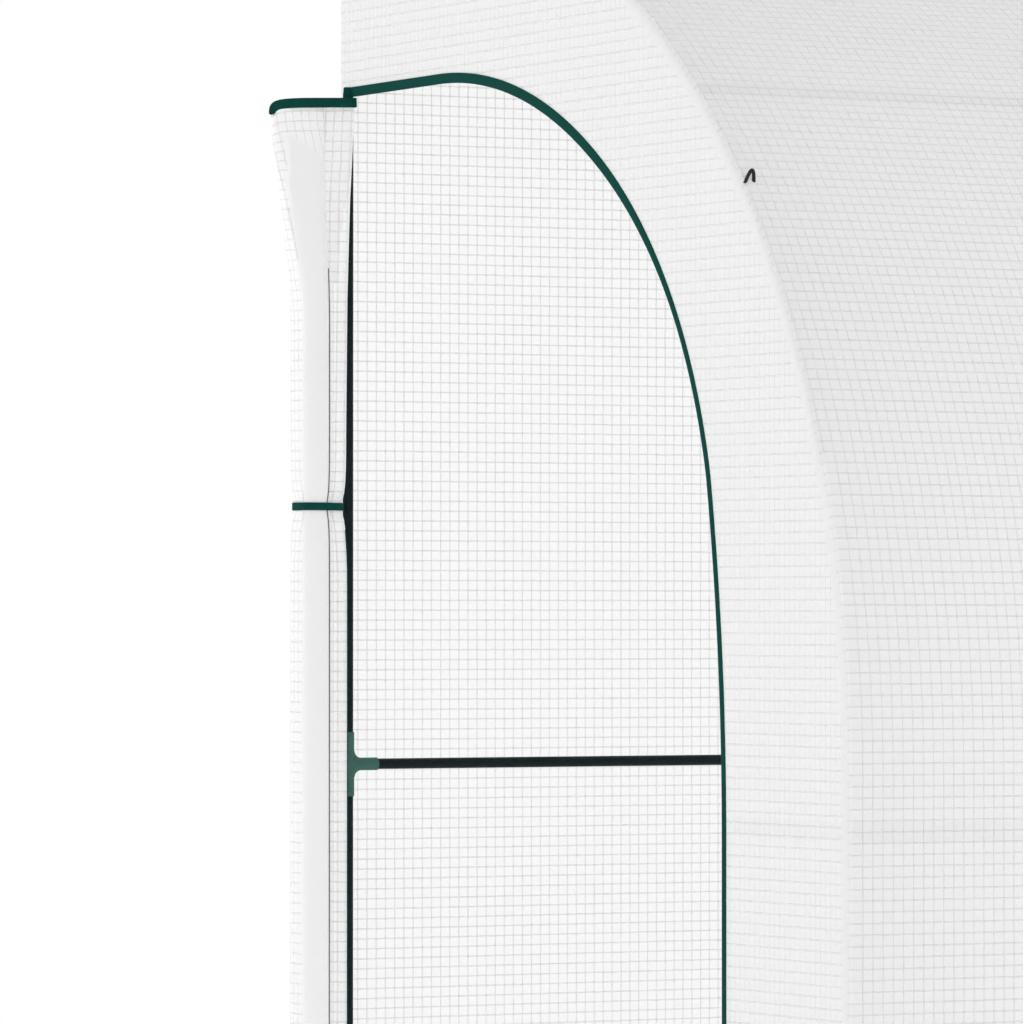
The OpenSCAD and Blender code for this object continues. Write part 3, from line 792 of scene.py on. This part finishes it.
class GREENHOUSE_OT_end_covers(bpy.types.Operator):
    """Stretch the two end sheets round their doorways, with their threads and bands"""

    bl_idname = "greenhouse.end_covers"
    bl_label = "Stretch the end covers"

    def execute(self, context):
        c, d, shape = context.scene.greenhouse_cover, context.scene.greenhouse_door, Shape(context.scene)
        for name, side in ENDS.items():
            verts, faces = self.sheet(shape, side, d.edge_in)
            sheet = add_cover(
                f"{name}_end_sheet", (verts, faces), "cover film",
                (f"{name}_gable_cover", f"{name}_shoulder_cover", f"{name}_skirt"),
            )
            level, upright = self.lines(shape, side, d.edge_in)
            bars = join([
                thread_bars(level, c.thread_w, c.thread_h), thread_bars(upright, c.end_thread_w, c.thread_h),
            ])
            threads = add_cover(f"{name}_end_threads", bars, "end thread")
            bands = add_cover(f"{name}_end_bands", join(self.bands(shape, side, d.edge_in)), "doubled band")
        return {"FINISHED"}

    def sheet(self, shape, side, grow):
        """The sheet beside the doorway and the gable over it, up to the arch"""
        c = shape.c
        top = c.height - c.film_in - c.corner_d
        cut = shape.door_h + grow
        heights = np.concatenate([shape.doorway(grow)[:, 1], np.linspace(c.hem_z, cut, 40)])
        low = np.unique(np.round(heights, 4))
        high = np.linspace(cut, top, 14)
        closer_inside = np.linspace(0, 1, 15) ** 1.5
        parts = []
        for rows, inner in ((low, shape.door_u(low, grow)), (high, np.full_like(high, c.inset))):
            outer = shape.arch_u(rows, c.corner_d)
            u = inner[:, None] + (outer - inner)[:, None] * closer_inside[None, :]
            rise = np.clip((rows[:, None] - cut) / (top - cut), 0, 1) ** 3
            z = rows[:, None] + rise * (c.corner_d - shape.corner_in(u - c.inset))
            parts.append(grid(shape.end_points(side, u, z)[0]))
        return join(parts)

    def lines(self, shape, side, grow):
        """The level and the upright threads, from the doorway to the arch's hem"""
        c = shape.c
        hem = c.corner_d + c.hem_w
        level, upright = [], []
        for z in places(c.end_z, c.pitch, c.hem_z, c.height - c.inset):
            inner = float(shape.door_u(z, grow)) if z < shape.door_h + grow else c.inset
            outer = float(shape.arch_u(z, hem)) if z < shape.arch_z(c.flat_top, hem) else c.inset
            if outer > inner + c.thread_least:
                level.append(shape.end_points(side, np.array([inner, outer]), np.full(2, z)))
        for u in c.depth - places(c.end_w, c.end_pitch, hem, c.depth - c.inset):
            bottom = c.hem_z if u > shape.side_u + grow else float(shape.door_z(u, grow))
            top = float(shape.arch_z(u, hem))
            if top > bottom + c.thread_least:
                upright.append(shape.end_points(side, np.full(2, u), np.array([bottom, top])))
        return level, upright

    def bands(self, shape, side, grow):
        """Doubled cloth over the rail, down the door post and along the lower edge"""
        c = shape.c
        half = c.band_w / 2
        wide = np.linspace(shape.side_u + grow, c.depth - c.corner_d - c.hem_w, 6)
        post = c.depth - c.post_y
        parts = []
        for u, low, high in (
            (wide, c.rail_z - half, c.rail_z + half),
            (np.array([post - half / 2, post + half / 2]), c.hem_z, c.rail_z - half),
            (wide, c.hem_z, c.hem_z + c.hem_band),
        ):
            parts.append(grid(shape.end_points(side, u[None, :], [[low], [high]], -c.band_in)[0]))
        return parts


class GREENHOUSE_OT_door_bindings(bpy.types.Operator):
    """Bind the edge of each doorway with a stitched tape, narrower down its side"""

    bl_idname = "greenhouse.door_bindings"
    bl_label = "Bind the doorways"
    # The folded end: depths of its rounded top and shares of its width there, then heights of its other rows
    round_top, round_share, fold_rows = (0.0, 0.001, 0.0025), (0.8, 0.93, 1.0), (0.006, -0.004, -0.014)
    # How far its first and its last row stand off the end, how far in its middle lies, and its rounding
    fold_out, fold_in, fold_round = (0.0034, 0.004), 0.007, 0.0013

    def execute(self, context):
        d, shape = context.scene.greenhouse_door, Shape(context.scene)
        line = shape.doorway(d.edge_in)[::-1]
        level = np.linspace(line[-1], [d.binding_left, shape.door_h + d.edge_in], 12)[1:]
        line = np.concatenate([line, level])
        apart = np.linalg.norm(np.diff(line, axis=0), axis=1) > 1e-6
        line = line[np.concatenate([[True], apart])]
        t = unit(np.gradient(line, axis=0))
        wide = smooth((line[:, 1] - d.narrow_z) / d.narrow_run)
        taper = wide + (1 - wide) * d.narrow_w / d.binding_w
        line = line + d.narrow_out * (1 - wide)[:, None] * np.stack([t[:, 1], -t[:, 0]], -1)
        across = np.stack([np.zeros(len(t)), -t[:, 1], -t[:, 0]], -1)
        for name, side in ENDS.items():
            add_tape(f"{name}_doorway_tape_end", self.end_fold(shape, side), binding())
            path, n = shape.end_points(side, line[:, 0], line[:, 1], d.binding_lift)
            strip = tape(path, across, n, d.binding_w, d.binding_t, taper=taper)
            replaces = [f"{name}_{part}_binding" for part in ("top", "shoulder", "side")]
            add_tape(f"{name}_doorway_tape", strip, binding(), replaces)
        return {"FINISHED"}

    def end_fold(self, shape, side):
        """The tape's end, folded down round the corner post"""
        d = shape.d
        top = d.edge_in + d.binding_w / 2
        z = shape.door_h + np.concatenate([top - np.array(self.round_top), self.fold_rows])
        taper = np.concatenate([self.round_share, np.ones(len(self.fold_rows))])
        x = side * (shape.end_x + np.linspace(*self.fold_out, len(z)))
        y = np.full(len(z), shape.c.depth / 2 - d.binding_left - self.fold_in)
        return tape(np.stack([x, y, z], -1), *facing(d, side), d.fold_w, d.fold_t, self.fold_round, taper)


def facing(d, side):
    """Directions across and out of a tape whose face is turned from the front towards the end"""
    a, b = math.cos(d.tape_turn), math.sin(d.tape_turn)
    return np.array([-side * a, -b, 0.0]), np.array([side * b, -a, 0.0])


class Roll:
    """The door rolled aside: its section at each height"""

    # Columns of the mesh from the sewn edge to the roll, and in one turn of the roll
    tail, per_turn = 14, 32
    # Share of the roll that its turns fill, the turn from which the inner ones slump, and by what shares
    filled, slump_turn, slump_out, slump_thin = 0.88, 0.75, 0.33, 0.08
    # Height of the strap's full pull over and under its middle, and how soon it fades
    pull_half, pull_fade = 0.004, 0.019
    # Places of the sewn edge and of the bend beside it: out from the end and in from the back face
    sewn_out, bend_out, bend_flare, bend_back = 0.0016, 0.0035, 0.012, 0.0135
    # Height and distance from the back face of the door's sewn edge
    edge_line = (
        (1.13, 0.0345), (1.20, 0.030), (1.34, 0.030), (1.54, 0.034),
        (1.69, 0.043), (1.75, 0.050), (1.83, 0.058),
    )
    # Turn of the roll, from its back, and how much lower the top edge lies there
    top_fall = (
        (0.75, 0.0), (0.88, 0.03), (1.0, 0.07), (1.25, 0.04),
        (1.5, 0.055), (1.75, 0.075), (2.0, 0.09), (2.5, 0.11),
    )
    # Height at which the rolled length is measured, height from which the rows rise to the curved top edge,
    # and the lowest height of that edge
    plain_z, foot_z, least_z = 1.145, 0.5, 0.6
    # Height from which the top's outer end hangs down, where out from the end it starts, its run and its bend
    hang_z, hang_from, hang_run, hang_soft, hang_lean = 1.66, 0.07, 0.073, 0.15, 0.035
    # Turn where the tight front starts, and how much further on it starts at the spread top
    front_turn, front_flare = 0.32, 0.07

    def __init__(self, scene):
        self.c, self.d = scene.greenhouse_cover, scene.greenhouse_door
        self.shape = Shape(scene)
        self.turns = self.filled * self.d.roll_half / self.d.roll_pitch
        self.heights = stations(0.004, (1.1, 11), (1.36, 52), (self.d.flare_z, 7), (self.d.flare_top, 44))
        self.table = np.stack([self.section(h) for h in self.heights])

    def pull(self, z):
        """How much the strap shapes the door at the height z, from 0 to 1"""
        away = np.abs(z - self.d.strap_z)
        return float(np.exp(-max(away - self.pull_half, 0.0) / self.pull_fade))

    def spread(self, z):
        """How far the roll has spread at the height z, from 0 to 1"""
        return smooth((z - self.d.flare_z) / (self.d.flare_top - self.d.flare_z))

    def size(self, z):
        """Middle, half widths and squareness of the roll at the height z"""
        d, t = self.d, float(self.spread(z))
        pinch = 1 - d.strap_pinch * self.pull(z)
        out = d.roll_out + (d.flare_out - d.roll_out) * t
        y = self.c.depth / 2 - (d.roll_back + (d.flare_back - d.roll_back) * t)
        wide = (d.roll_half + (d.flare_half - d.roll_half) * t) * pinch
        thick = (d.roll_half + (d.flare_thick - d.roll_half) * t) * pinch
        return out, y, wide, thick, d.roll_square + (d.flare_square - d.roll_square) * t, t

    def outline(self, z, psi, grow=0.0):
        """Points (out, y) on the roll's outline, psi counted from its back"""
        out, y, wide, thick, square, _ = self.size(z)
        a, b = np.sin(psi), np.cos(psi)
        power = 2 / square
        return np.stack([
            out + (wide + grow) * np.sign(a) * np.abs(a) ** power,
            y + (thick + grow) * np.sign(b) * np.abs(b) ** power,
        ], -1)

    def section(self, z):
        """The door's line (out, y) from its sewn edge to the heart of the roll"""
        out, y, wide, thick, _, t = self.size(z)
        pull = self.d.strap_pull * self.pull(z)
        back = self.c.depth / 2
        sewn = np.array([self.sewn_out + pull, back - read_off(z, self.edge_line)])
        bend_y = (1 - t) * (back - self.bend_back) + t * (y + 0.6 * thick)
        bend = np.array([self.bend_out + pull + self.bend_flare * t, bend_y])
        meet = self.outline(z, np.array([0.0]))[0]
        u = np.linspace(0, 1, self.tail)[:, None]
        tail = (1 - u) * ((1 - u) * sewn + u * bend) + u * ((1 - u) * bend + u * meet)
        whole = 2 * math.pi * self.turns
        psi = np.linspace(0, whole, int(self.per_turn * self.turns))[1:]
        scale = (1 - self.filled * psi / whole)[:, None]
        inner = smooth(psi / (2 * math.pi) - self.slump_turn)[:, None]
        middle = np.array([out, y]) - inner * np.array([self.slump_out * wide, 0.0])
        thin = 1 - inner * [self.slump_out, self.slump_thin]
        coil = (self.outline(z, psi) - [out, y]) * scale * thin + middle
        return np.concatenate([tail, coil])

    def turn(self, column):
        """The turn of the roll at a column of the mesh"""
        return (column - self.tail) / self.per_turn

    def fold(self, column):
        """Height of the slanting fold over which the top of the roll opens out"""
        return self.d.opening_z - self.d.opening_fall * self.turn(column)

    def front(self, z):
        """The column where the tight front of the roll starts at the height z"""
        return self.tail + (self.front_turn + self.front_flare * self.spread(z)) * self.per_turn

    def rows(self, z):
        """Points (out, y, z) of the door for the rows z of its straight edge, lower to its curved side"""
        steps = np.linalg.norm(np.diff(self.section(self.plain_z), axis=0), axis=1)
        run = np.concatenate([[0.0], np.cumsum(steps)])
        top = self.d.flare_top - self.shape.door_h + self.shape.door_z(self.c.inset + run, 0.0)
        top = top - read_off(self.turn(np.arange(len(run))), self.top_fall)
        above = (z[:, None] - self.foot_z) / (self.d.flare_top - self.foot_z)
        raised = self.foot_z + above * (np.maximum(top, self.least_z) - self.foot_z)[None, :]
        heights = np.where(above > 0, raised, z[:, None])
        points = np.empty(heights.shape + (3,))
        for j in range(heights.shape[1]):
            for i in range(2):
                points[:, j, i] = np.interp(heights[:, j], self.heights, self.table[:, j, i])
        points[..., 2] = heights
        return points

    def drop(self, out, z):
        """How far the outer end of the top edge hangs down"""
        t = smooth((np.asarray(z) - self.hang_z) / (self.d.flare_top - self.hang_z))
        far = np.clip((out - self.hang_from) / self.hang_run, 0, None)
        bend = self.hang_soft * far ** 2 + (1 - self.hang_soft) * far ** 9
        return (self.d.curl * bend + self.hang_lean * out) * t

    def place(self, side, out, y, z):
        """Points in the frame for the near or the far end"""
        out, y, z = np.broadcast_arrays(out, y, z)
        return np.stack([side * (self.shape.end_x + out), y, z - self.drop(out, z)], -1)


class GREENHOUSE_OT_rolled_doors(bpy.types.Operator):
    """Roll each door aside, spread at its top and pulled in by its strap, with its threads, its tapes and a
    painted shadow line beside the roll
    """

    bl_idname = "greenhouse.rolled_doors"
    bl_label = "Roll the doors aside"
    # Skins of the door: what each sends back and lets through, thicker towards the heart of the roll. All but
    # the hem absorb less than the cover film, which is painted light that brightens the door, its roll and
    # its spread top; the hem beside the roll absorbs more, which is painted shade cast by the roll's edge.
    skins = {
        "door film": (0.57, 0.42), "door hem painted shade": (0.52, 0.37), "rolled film": (0.88, 0.11),
        "rolled core": (0.98, 0.0), "spread film painted light": (0.97, 0.02),
    }
    # Height and first column of the hem beside the roll, whose darker skin paints the shade cast by the
    # roll's edge
    hem_line = ((1.40, 6.0), (1.55, 5.4), (1.65, 3.0), (1.72, 0.0))
    # Height from which the side of the roll is spread
    spread_z = 1.67
    # Top tape: its places out from the end, distance from the back face, rise over the edge and rounding
    top_out, top_back, top_rise, top_round = (-0.001, 0.08, 0.130), 0.058, 0.006, 0.0014
    # Its outer end: how far it leans back, from where, over what run, and the radius and angles of its curl
    lean, lean_from, lean_run, curl_r, curl_angles = 0.007, 0.09, 0.055, 0.014, (31, 95)
    # Share by which that end narrows, from what fall on and over what fall
    narrow, narrow_from, narrow_run = 0.35, 0.009, 0.012
    # Painted shadow line in the crease beside the roll, a thin dark tape: its angle round the roll, how far
    # it lies in and back, and its width, thickness and rounding
    edge_angle, edge_in, edge_back, edge_size = 228.0, 0.0012, 0.004, (0.0028, 0.0012, 0.0004)
    # Sewn edge: its foot, how far below the strap it ends, how far it lies forward, and the same sizes
    sewn_foot, sewn_below, sewn_front, sewn_size = 0.008, 0.035, 0.0004, (0.0022, 0.0014, 0.0005)

    def execute(self, context):
        scene = context.scene
        c, d = scene.greenhouse_cover, scene.greenhouse_door
        roll = Roll(scene)
        shape = roll.shape
        z = stations(
            0.006, (d.strap_z - 0.12, 7), (d.strap_z + 0.12, 24), (d.flare_z, 4),
            (d.flare_top - 0.09, 15), (d.flare_top, 25),
        )
        out, y, heights = np.moveaxis(roll.rows(z), -1, 0)
        outer = roll.tail + int(1.02 * roll.per_turn)
        skins = [sheet_material(name, *shares) for name, shares in self.skins.items()]
        # Dark grey tape material for the painted shadow line in the crease beside the roll
        crease_shadow = tape_material("painted crease shadow", scene.greenhouse_finish.crease_shadow, 0.02)
        u, v = np.concatenate([[[c.inset, c.hem_z], [c.inset, shape.door_h]], shape.doorway(0.0)]).T
        for name, side in ENDS.items():
            points = roll.place(side, out, y, heights)
            sheet = add_piece(
                f"{name}_door_sheet", *grid(points), skins, "cover", (f"{name}_door_roll",),
                face_slots=self.slots(roll, points, outer),
            )
            bars = thread_bars(self.threads(roll, points, z, outer), c.thread_w, c.thread_h)
            threads = add_cover(f"{name}_door_threads", bars, "end thread")
            top = add_tape(
                f"{name}_door_top_tape", self.top_tape(roll, side), binding(), (f"{name}_roll_binding",)
            )
            # A thin dark strip beside the roll: painted shadow of the crease between the roll and the tail
            edge = add_tape(f"{name}_door_crease_shadow", self.crease_shadow_line(roll, side), crease_shadow)
            sewn = add_tape(f"{name}_door_sewn_tape", self.sewn_tape(roll, side), binding())
        return {"FINISHED"}

    def slots(self, roll, points, outer):
        """Which skin each face of the door gets: film, hem beside the roll with its painted shade, outer
        turn, core or spread top with its painted light
        """
        film, hem, rolled, core, spread = range(len(self.skins))
        column = np.arange(points.shape[1] - 1)[None, :]
        z = (points[1:, :1, 2] + points[:-1, :1, 2]) / 2
        opened = (z > roll.fold(column)) | ((z > self.spread_z) & (column < roll.front(z)))
        beside = np.where(column >= read_off(z, self.hem_line), hem, film)
        turned = np.where(column < outer, np.where(opened, spread, rolled), core)
        return np.where(column < roll.tail, beside, turned).ravel()

    def threads(self, roll, points, z, outer):
        """Level and upright threads over the part of the door that shows, apart from its tight front"""
        c = roll.c
        shown = points[:, :outer]
        column = np.arange(outer)
        steps = np.linalg.norm(np.diff(shown, axis=1), axis=2)
        run = np.concatenate([np.zeros((len(z), 1)), np.cumsum(steps, axis=1)], 1)
        n = unit(np.cross(np.gradient(shown, axis=1), UP))
        both = np.concatenate([shown, n], -1)
        lines = []
        for level in places(c.end_z, c.pitch, z[0], z[-1] - 0.004):
            k = min(int(np.searchsorted(z, level, side="right")) - 1, len(z) - 2)
            f = (level - z[k]) / (z[k + 1] - z[k])
            hidden = (column >= roll.front(level)) & (level <= roll.fold(column))
            count = int(np.argmax(hidden)) if hidden.any() else outer
            line = ((1 - f) * both[k] + f * both[k + 1])[:count]
            lines.append((line[:, :3], line[:, 3:]))
        for place in places(0.004, c.end_pitch, 0.0, float(run[0, -1])):
            line = []
            for k in range(len(z)):
                at = np.interp(place, run[k], column)
                if at <= roll.front(z[k]) or z[k] >= roll.fold(at):
                    line.append([np.interp(place, run[k], both[k, :, i]) for i in range(6)])
            if len(line) > 1:
                line = np.array(line)
                lines.append((line[:, :3], line[:, 3:]))
        return lines

    def top_tape(self, roll, side):
        """The tape along the spread top edge, its outer end curled down and narrowed"""
        d = roll.d
        start, dense_from, curl_from = self.top_out
        bend = np.radians(np.linspace(*self.curl_angles, 13))
        out = stations(start, (dense_from, 5), (curl_from, 21))
        fall = roll.drop(out, np.full_like(out, d.flare_top))
        out = np.concatenate([out, out[-1] + self.curl_r * (np.sin(bend[1:]) - np.sin(bend[0]))])
        fall = np.concatenate([fall, fall[-1] + self.curl_r * (np.cos(bend[0]) - np.cos(bend[1:]))])
        y = roll.c.depth / 2 - self.top_back + self.lean * smooth((out - self.lean_from) / self.lean_run)
        path = np.stack([side * (roll.shape.end_x + out), y, d.flare_top + self.top_rise - fall], -1)
        t = np.gradient(path, axis=0)
        front = np.cross(t, UP) * side
        taper = 1 - self.narrow * smooth((fall - self.narrow_from) / self.narrow_run)
        return tape(path, np.cross(front, t) * side, front, d.top_w, d.top_t, self.top_round, taper)

    def crease_shadow_line(self, roll, side):
        """A thin dark strip beside the roll: painted shadow of the crease between the roll and the tail"""
        z = stations(0.01, (1.1, 9), (1.12, 1), (1.34, 23), (1.36, 1), (1.585, 7))
        rows = np.array([roll.outline(h, math.radians(self.edge_angle)) for h in z])
        path = roll.place(side, rows[:, 0] - self.edge_in, rows[:, 1] + self.edge_back, z)
        return tape(path, *facing(roll.d, side), *self.edge_size)

    def sewn_tape(self, roll, side):
        """The thin bound line along the door's sewn edge below the strap"""
        z = np.linspace(self.sewn_foot, roll.d.strap_z - self.sewn_below, 40)
        rows = np.array([roll.section(h)[0] for h in z])
        path = roll.place(side, rows[:, 0], rows[:, 1] - self.sewn_front, z)
        return tape(path, np.array([0.0, 1.0, 0.0]), np.array([side, 0.0, 0.0]), *self.sewn_size)


class GREENHOUSE_OT_tie_straps(bpy.types.Operator):
    """Tie a strap round each rolled door"""

    bl_idname = "greenhouse.tie_straps"
    bl_label = "Tie the straps"
    # Angles round the roll, distance from it, and rounding of the strap
    wrap, clear, round_edge = (-8, 205), 0.0006, 0.0006
    # How far its start and its end lie out from the end cover, and its end from the back face
    start_out, end_out, end_back = 0.003, 0.005, 0.0285

    def execute(self, context):
        d, roll = context.scene.greenhouse_door, Roll(context.scene)
        psi = np.radians(np.linspace(*self.wrap, 40))
        round_roll = roll.outline(d.strap_z, psi, d.strap_t / 2 + self.clear)
        start = np.linspace([self.start_out, round_roll[0, 1]], round_roll[0], 6)[:-1]
        finish = np.linspace(round_roll[-1], [self.end_out, roll.c.depth / 2 - self.end_back], 8)[1:]
        out, y = np.concatenate([start, round_roll, finish]).T
        for name, side in ENDS.items():
            path = np.stack([side * (roll.shape.end_x + out), y, np.full(len(y), d.strap_z)], -1)
            outward = np.cross(np.gradient(path, axis=0), UP)
            strip = tape(path, UP, outward, d.strap_w, d.strap_t, self.round_edge)
            add_tape(f"{name}_strap", strip, binding(), (f"{name}_tie_strap",))
        return {"FINISHED"}


class GREENHOUSE_OT_guy_loops(bpy.types.Operator):
    """Sew a cord loop to the arch seam of each end"""

    bl_idname = "greenhouse.guy_loops"
    bl_label = "Sew on the guy loops"
    # Places of the two stitches from mid length, how much lower the first lies, and how deep both sink in
    stitches, stitch_fall, stitch_in = (1.4965, 1.4815), 0.002, 0.001
    # How far the loop stands off the sheet, leans uphill and leans along it
    stands, uphill, aside = 0.0125, 0.0105, 0.003
    # A point uphill of the stitches: how far up the bow, and its place from mid length
    above_by, above_x = 0.01, 1.49
    # Powers that round the loop's sides and its top, and a direction that its cord never runs along
    side_power, top_power, astray = 0.85, 1.7, (0.3, -0.8, 0.5)

    def execute(self, context):
        d, shape = context.scene.greenhouse_door, Shape(context.scene)
        tint = context.scene.greenhouse_finish.cord
        cord = coat_material("guy cord", tint, roughness=0.75, scale=1500.0, bump=0.5, shine=0.2)
        for name, side in ENDS.items():
            verts, faces = closed_tube(self.cord_rings(shape, side, d.loop_cord / 2))
            add_piece(f"{name}_loop", verts, faces, [cord], "loop_cord", (f"{name}_guy_loop",))
        return {"FINISHED"}

    def cord_rings(self, shape, side, radius):
        """Rings of cord over a bow from one stitch to the other"""
        s = shape.lengths[2] + shape.d.loop_angle * (shape.roof_r - shape.c.film_in)
        feet, n = shape.long_points(
            np.array([s + self.stitch_fall, s]), side * np.array(self.stitches), -self.stitch_in
        )
        middle = feet.mean(0)
        above, _ = shape.long_points(s - self.above_by, side * self.above_x)
        reach = self.stands * n[1] + self.uphill * unit(above - middle) - np.array([side * self.aside, 0, 0])
        t = np.linspace(-1, 1, 25)[:, None]
        spread = np.where(t < 0, feet[0] - middle, feet[1] - middle)
        path = middle + spread * np.abs(t) ** self.side_power + reach * (1 - np.abs(t) ** self.top_power)
        along = unit(np.gradient(path, axis=0))
        first = unit(np.cross(along, self.astray))
        second = np.cross(along, first)
        a = np.linspace(0, 2 * math.pi, 13)[:-1, None]
        return path[:, None] + radius * (np.cos(a) * first[:, None] + np.sin(a) * second[:, None])


class GREENHOUSE_OT_stage(bpy.types.Operator):
    """Set up the floor, the light and the camera"""

    bl_idname = "greenhouse.stage"
    bl_label = "Set the stage"

    def execute(self, context):
        scene = context.scene
        s = scene.greenhouse_stage
        self.floor(scene, s)
        self.light(scene, s)
        data = bpy.data.cameras.new("camera")
        data.lens = s.lens
        data.sensor_width = 36.0
        data.clip_start, data.clip_end = 0.1, 200.0
        camera = bpy.data.objects.new("camera", data)
        camera.location = s.camera
        camera.rotation_euler = (math.pi / 2 + s.tilt, 0.0, s.turn)
        scene.collection.objects.link(camera)
        scene.camera = camera
        scene.view_settings.view_transform = "Standard"
        scene.cycles.use_denoising = True
        scene.cycles.diffuse_bounces = s.bounces
        scene.cycles.transmission_bounces = s.bounces
        scene.cycles.max_bounces = s.bounces
        return {"FINISHED"}

    def floor(self, scene, s):
        """A round pale floor that fades into the surroundings"""
        a = np.linspace(0, 2 * math.pi, 97)[:-1]
        verts = [(s.floor_r * math.cos(t), s.floor_r * math.sin(t), 0.0) for t in a]
        mesh = bpy.data.meshes.new("floor")
        mesh.from_pydata(verts, [], [list(range(len(verts)))])
        floor = bpy.data.objects.new("floor", mesh)
        scene.collection.objects.link(floor)
        mat, tree, out = new_material("floor")
        mat.cycles.emission_sampling = "NONE"
        where = add_node(tree, "ShaderNodeTexCoord").outputs["Object"]
        far = add_node(tree, "ShaderNodeVectorMath", {0: where}, operation="LENGTH").outputs["Value"]
        fade_from, fade_to = 0.4 * s.floor_r, 0.98 * s.floor_r
        fade = add_node(
            tree, "ShaderNodeMapRange", {"Value": far, "From Min": fade_from, "From Max": fade_to},
            interpolation_type="SMOOTHSTEP",
        ).outputs["Result"]
        matt = add_node(tree, "ShaderNodeBsdfDiffuse", {"Color": (*s.floor_tone, 1)}).outputs[0]
        glow = add_node(tree, "ShaderNodeEmission", {"Strength": s.floor_glow}).outputs[0]
        both = add_node(tree, "ShaderNodeAddShader", {0: matt, 1: glow}).outputs[0]
        clear = add_node(tree, "ShaderNodeBsdfTransparent").outputs[0]
        mix = add_node(tree, "ShaderNodeMixShader", {"Fac": fade, 1: both, 2: clear}).outputs[0]
        fill(tree, out, {"Surface": mix})
        mesh.materials.append(mat)

    def light(self, scene, s):
        """Soft light that differs by its direction, and plain white behind the object"""
        world = bpy.data.worlds.new("surroundings")
        scene.world = world
        world.cycles.sampling_method = "NONE"
        world.use_nodes = True
        tree = world.node_tree
        tree.nodes.clear()
        where = add_node(tree, "ShaderNodeTexCoord").outputs["Generated"]
        split = add_node(tree, "ShaderNodeSeparateXYZ", {0: where}).outputs
        total = 0.0
        for axis, ahead, behind in (
            ("X", s.end_light, s.end_light),
            ("Y", s.back_light, s.front_light),
            ("Z", s.top_light, s.floor_glow),
        ):
            is_ahead = math_node(tree, "GREATER_THAN", split[axis], 0.0)
            amount = math_node(tree, "MULTIPLY_ADD", is_ahead, ahead - behind, behind)
            square = math_node(tree, "MULTIPLY", split[axis], split[axis])
            total = math_node(tree, "MULTIPLY_ADD", square, amount, total)
        lit = add_node(tree, "ShaderNodeBackground", {"Color": WHITE, "Strength": total}).outputs[0]
        seen = add_node(tree, "ShaderNodeBackground", {"Color": WHITE}).outputs[0]
        by_camera = add_node(tree, "ShaderNodeLightPath").outputs["Is Camera Ray"]
        mix = add_node(tree, "ShaderNodeMixShader", {"Fac": by_camera, 1: lit, 2: seen}).outputs[0]
        add_node(tree, "ShaderNodeOutputWorld", {"Surface": mix})


OPERATORS = (
    GREENHOUSE_OT_frame, GREENHOUSE_OT_long_cover, GREENHOUSE_OT_back_cover,
    GREENHOUSE_OT_end_covers, GREENHOUSE_OT_door_bindings, GREENHOUSE_OT_rolled_doors,
    GREENHOUSE_OT_tie_straps, GREENHOUSE_OT_guy_loops, GREENHOUSE_OT_stage,
)
SETTINGS = {
    "greenhouse_cover": CoverSettings,
    "greenhouse_door": DoorSettings,
    "greenhouse_finish": FinishSettings,
    "greenhouse_stage": StageSettings,
}


class GREENHOUSE_PT_panel(bpy.types.Panel):
    """The greenhouse's settings and steps"""

    bl_idname = "GREENHOUSE_PT_panel"
    bl_label = "Greenhouse"
    bl_space_type = "VIEW_3D"
    bl_region_type = "UI"
    bl_category = "Greenhouse"

    def draw(self, context):
        for operator in OPERATORS:
            self.layout.operator(operator.bl_idname)
        for name in SETTINGS:
            box = self.layout.box()
            group = getattr(context.scene, name)
            for key in group.__annotations__:
                box.prop(group, key)


def register():
    for cls in (*SETTINGS.values(), *OPERATORS, GREENHOUSE_PT_panel):
        bpy.utils.register_class(cls)
    for name, cls in SETTINGS.items():
        setattr(bpy.types.Scene, name, bpy.props.PointerProperty(type=cls))


def unregister():
    for name in SETTINGS:
        delattr(bpy.types.Scene, name)
    for cls in reversed((*SETTINGS.values(), *OPERATORS, GREENHOUSE_PT_panel)):
        bpy.utils.unregister_class(cls)


def main():
    register()
    for operator in OPERATORS:
        group, step = operator.bl_idname.split(".")
        if getattr(getattr(bpy.ops, group), step)() != {"FINISHED"}:
            raise RuntimeError(f"{operator.bl_label} did not finish")


if __name__ == "__main__":
    main()
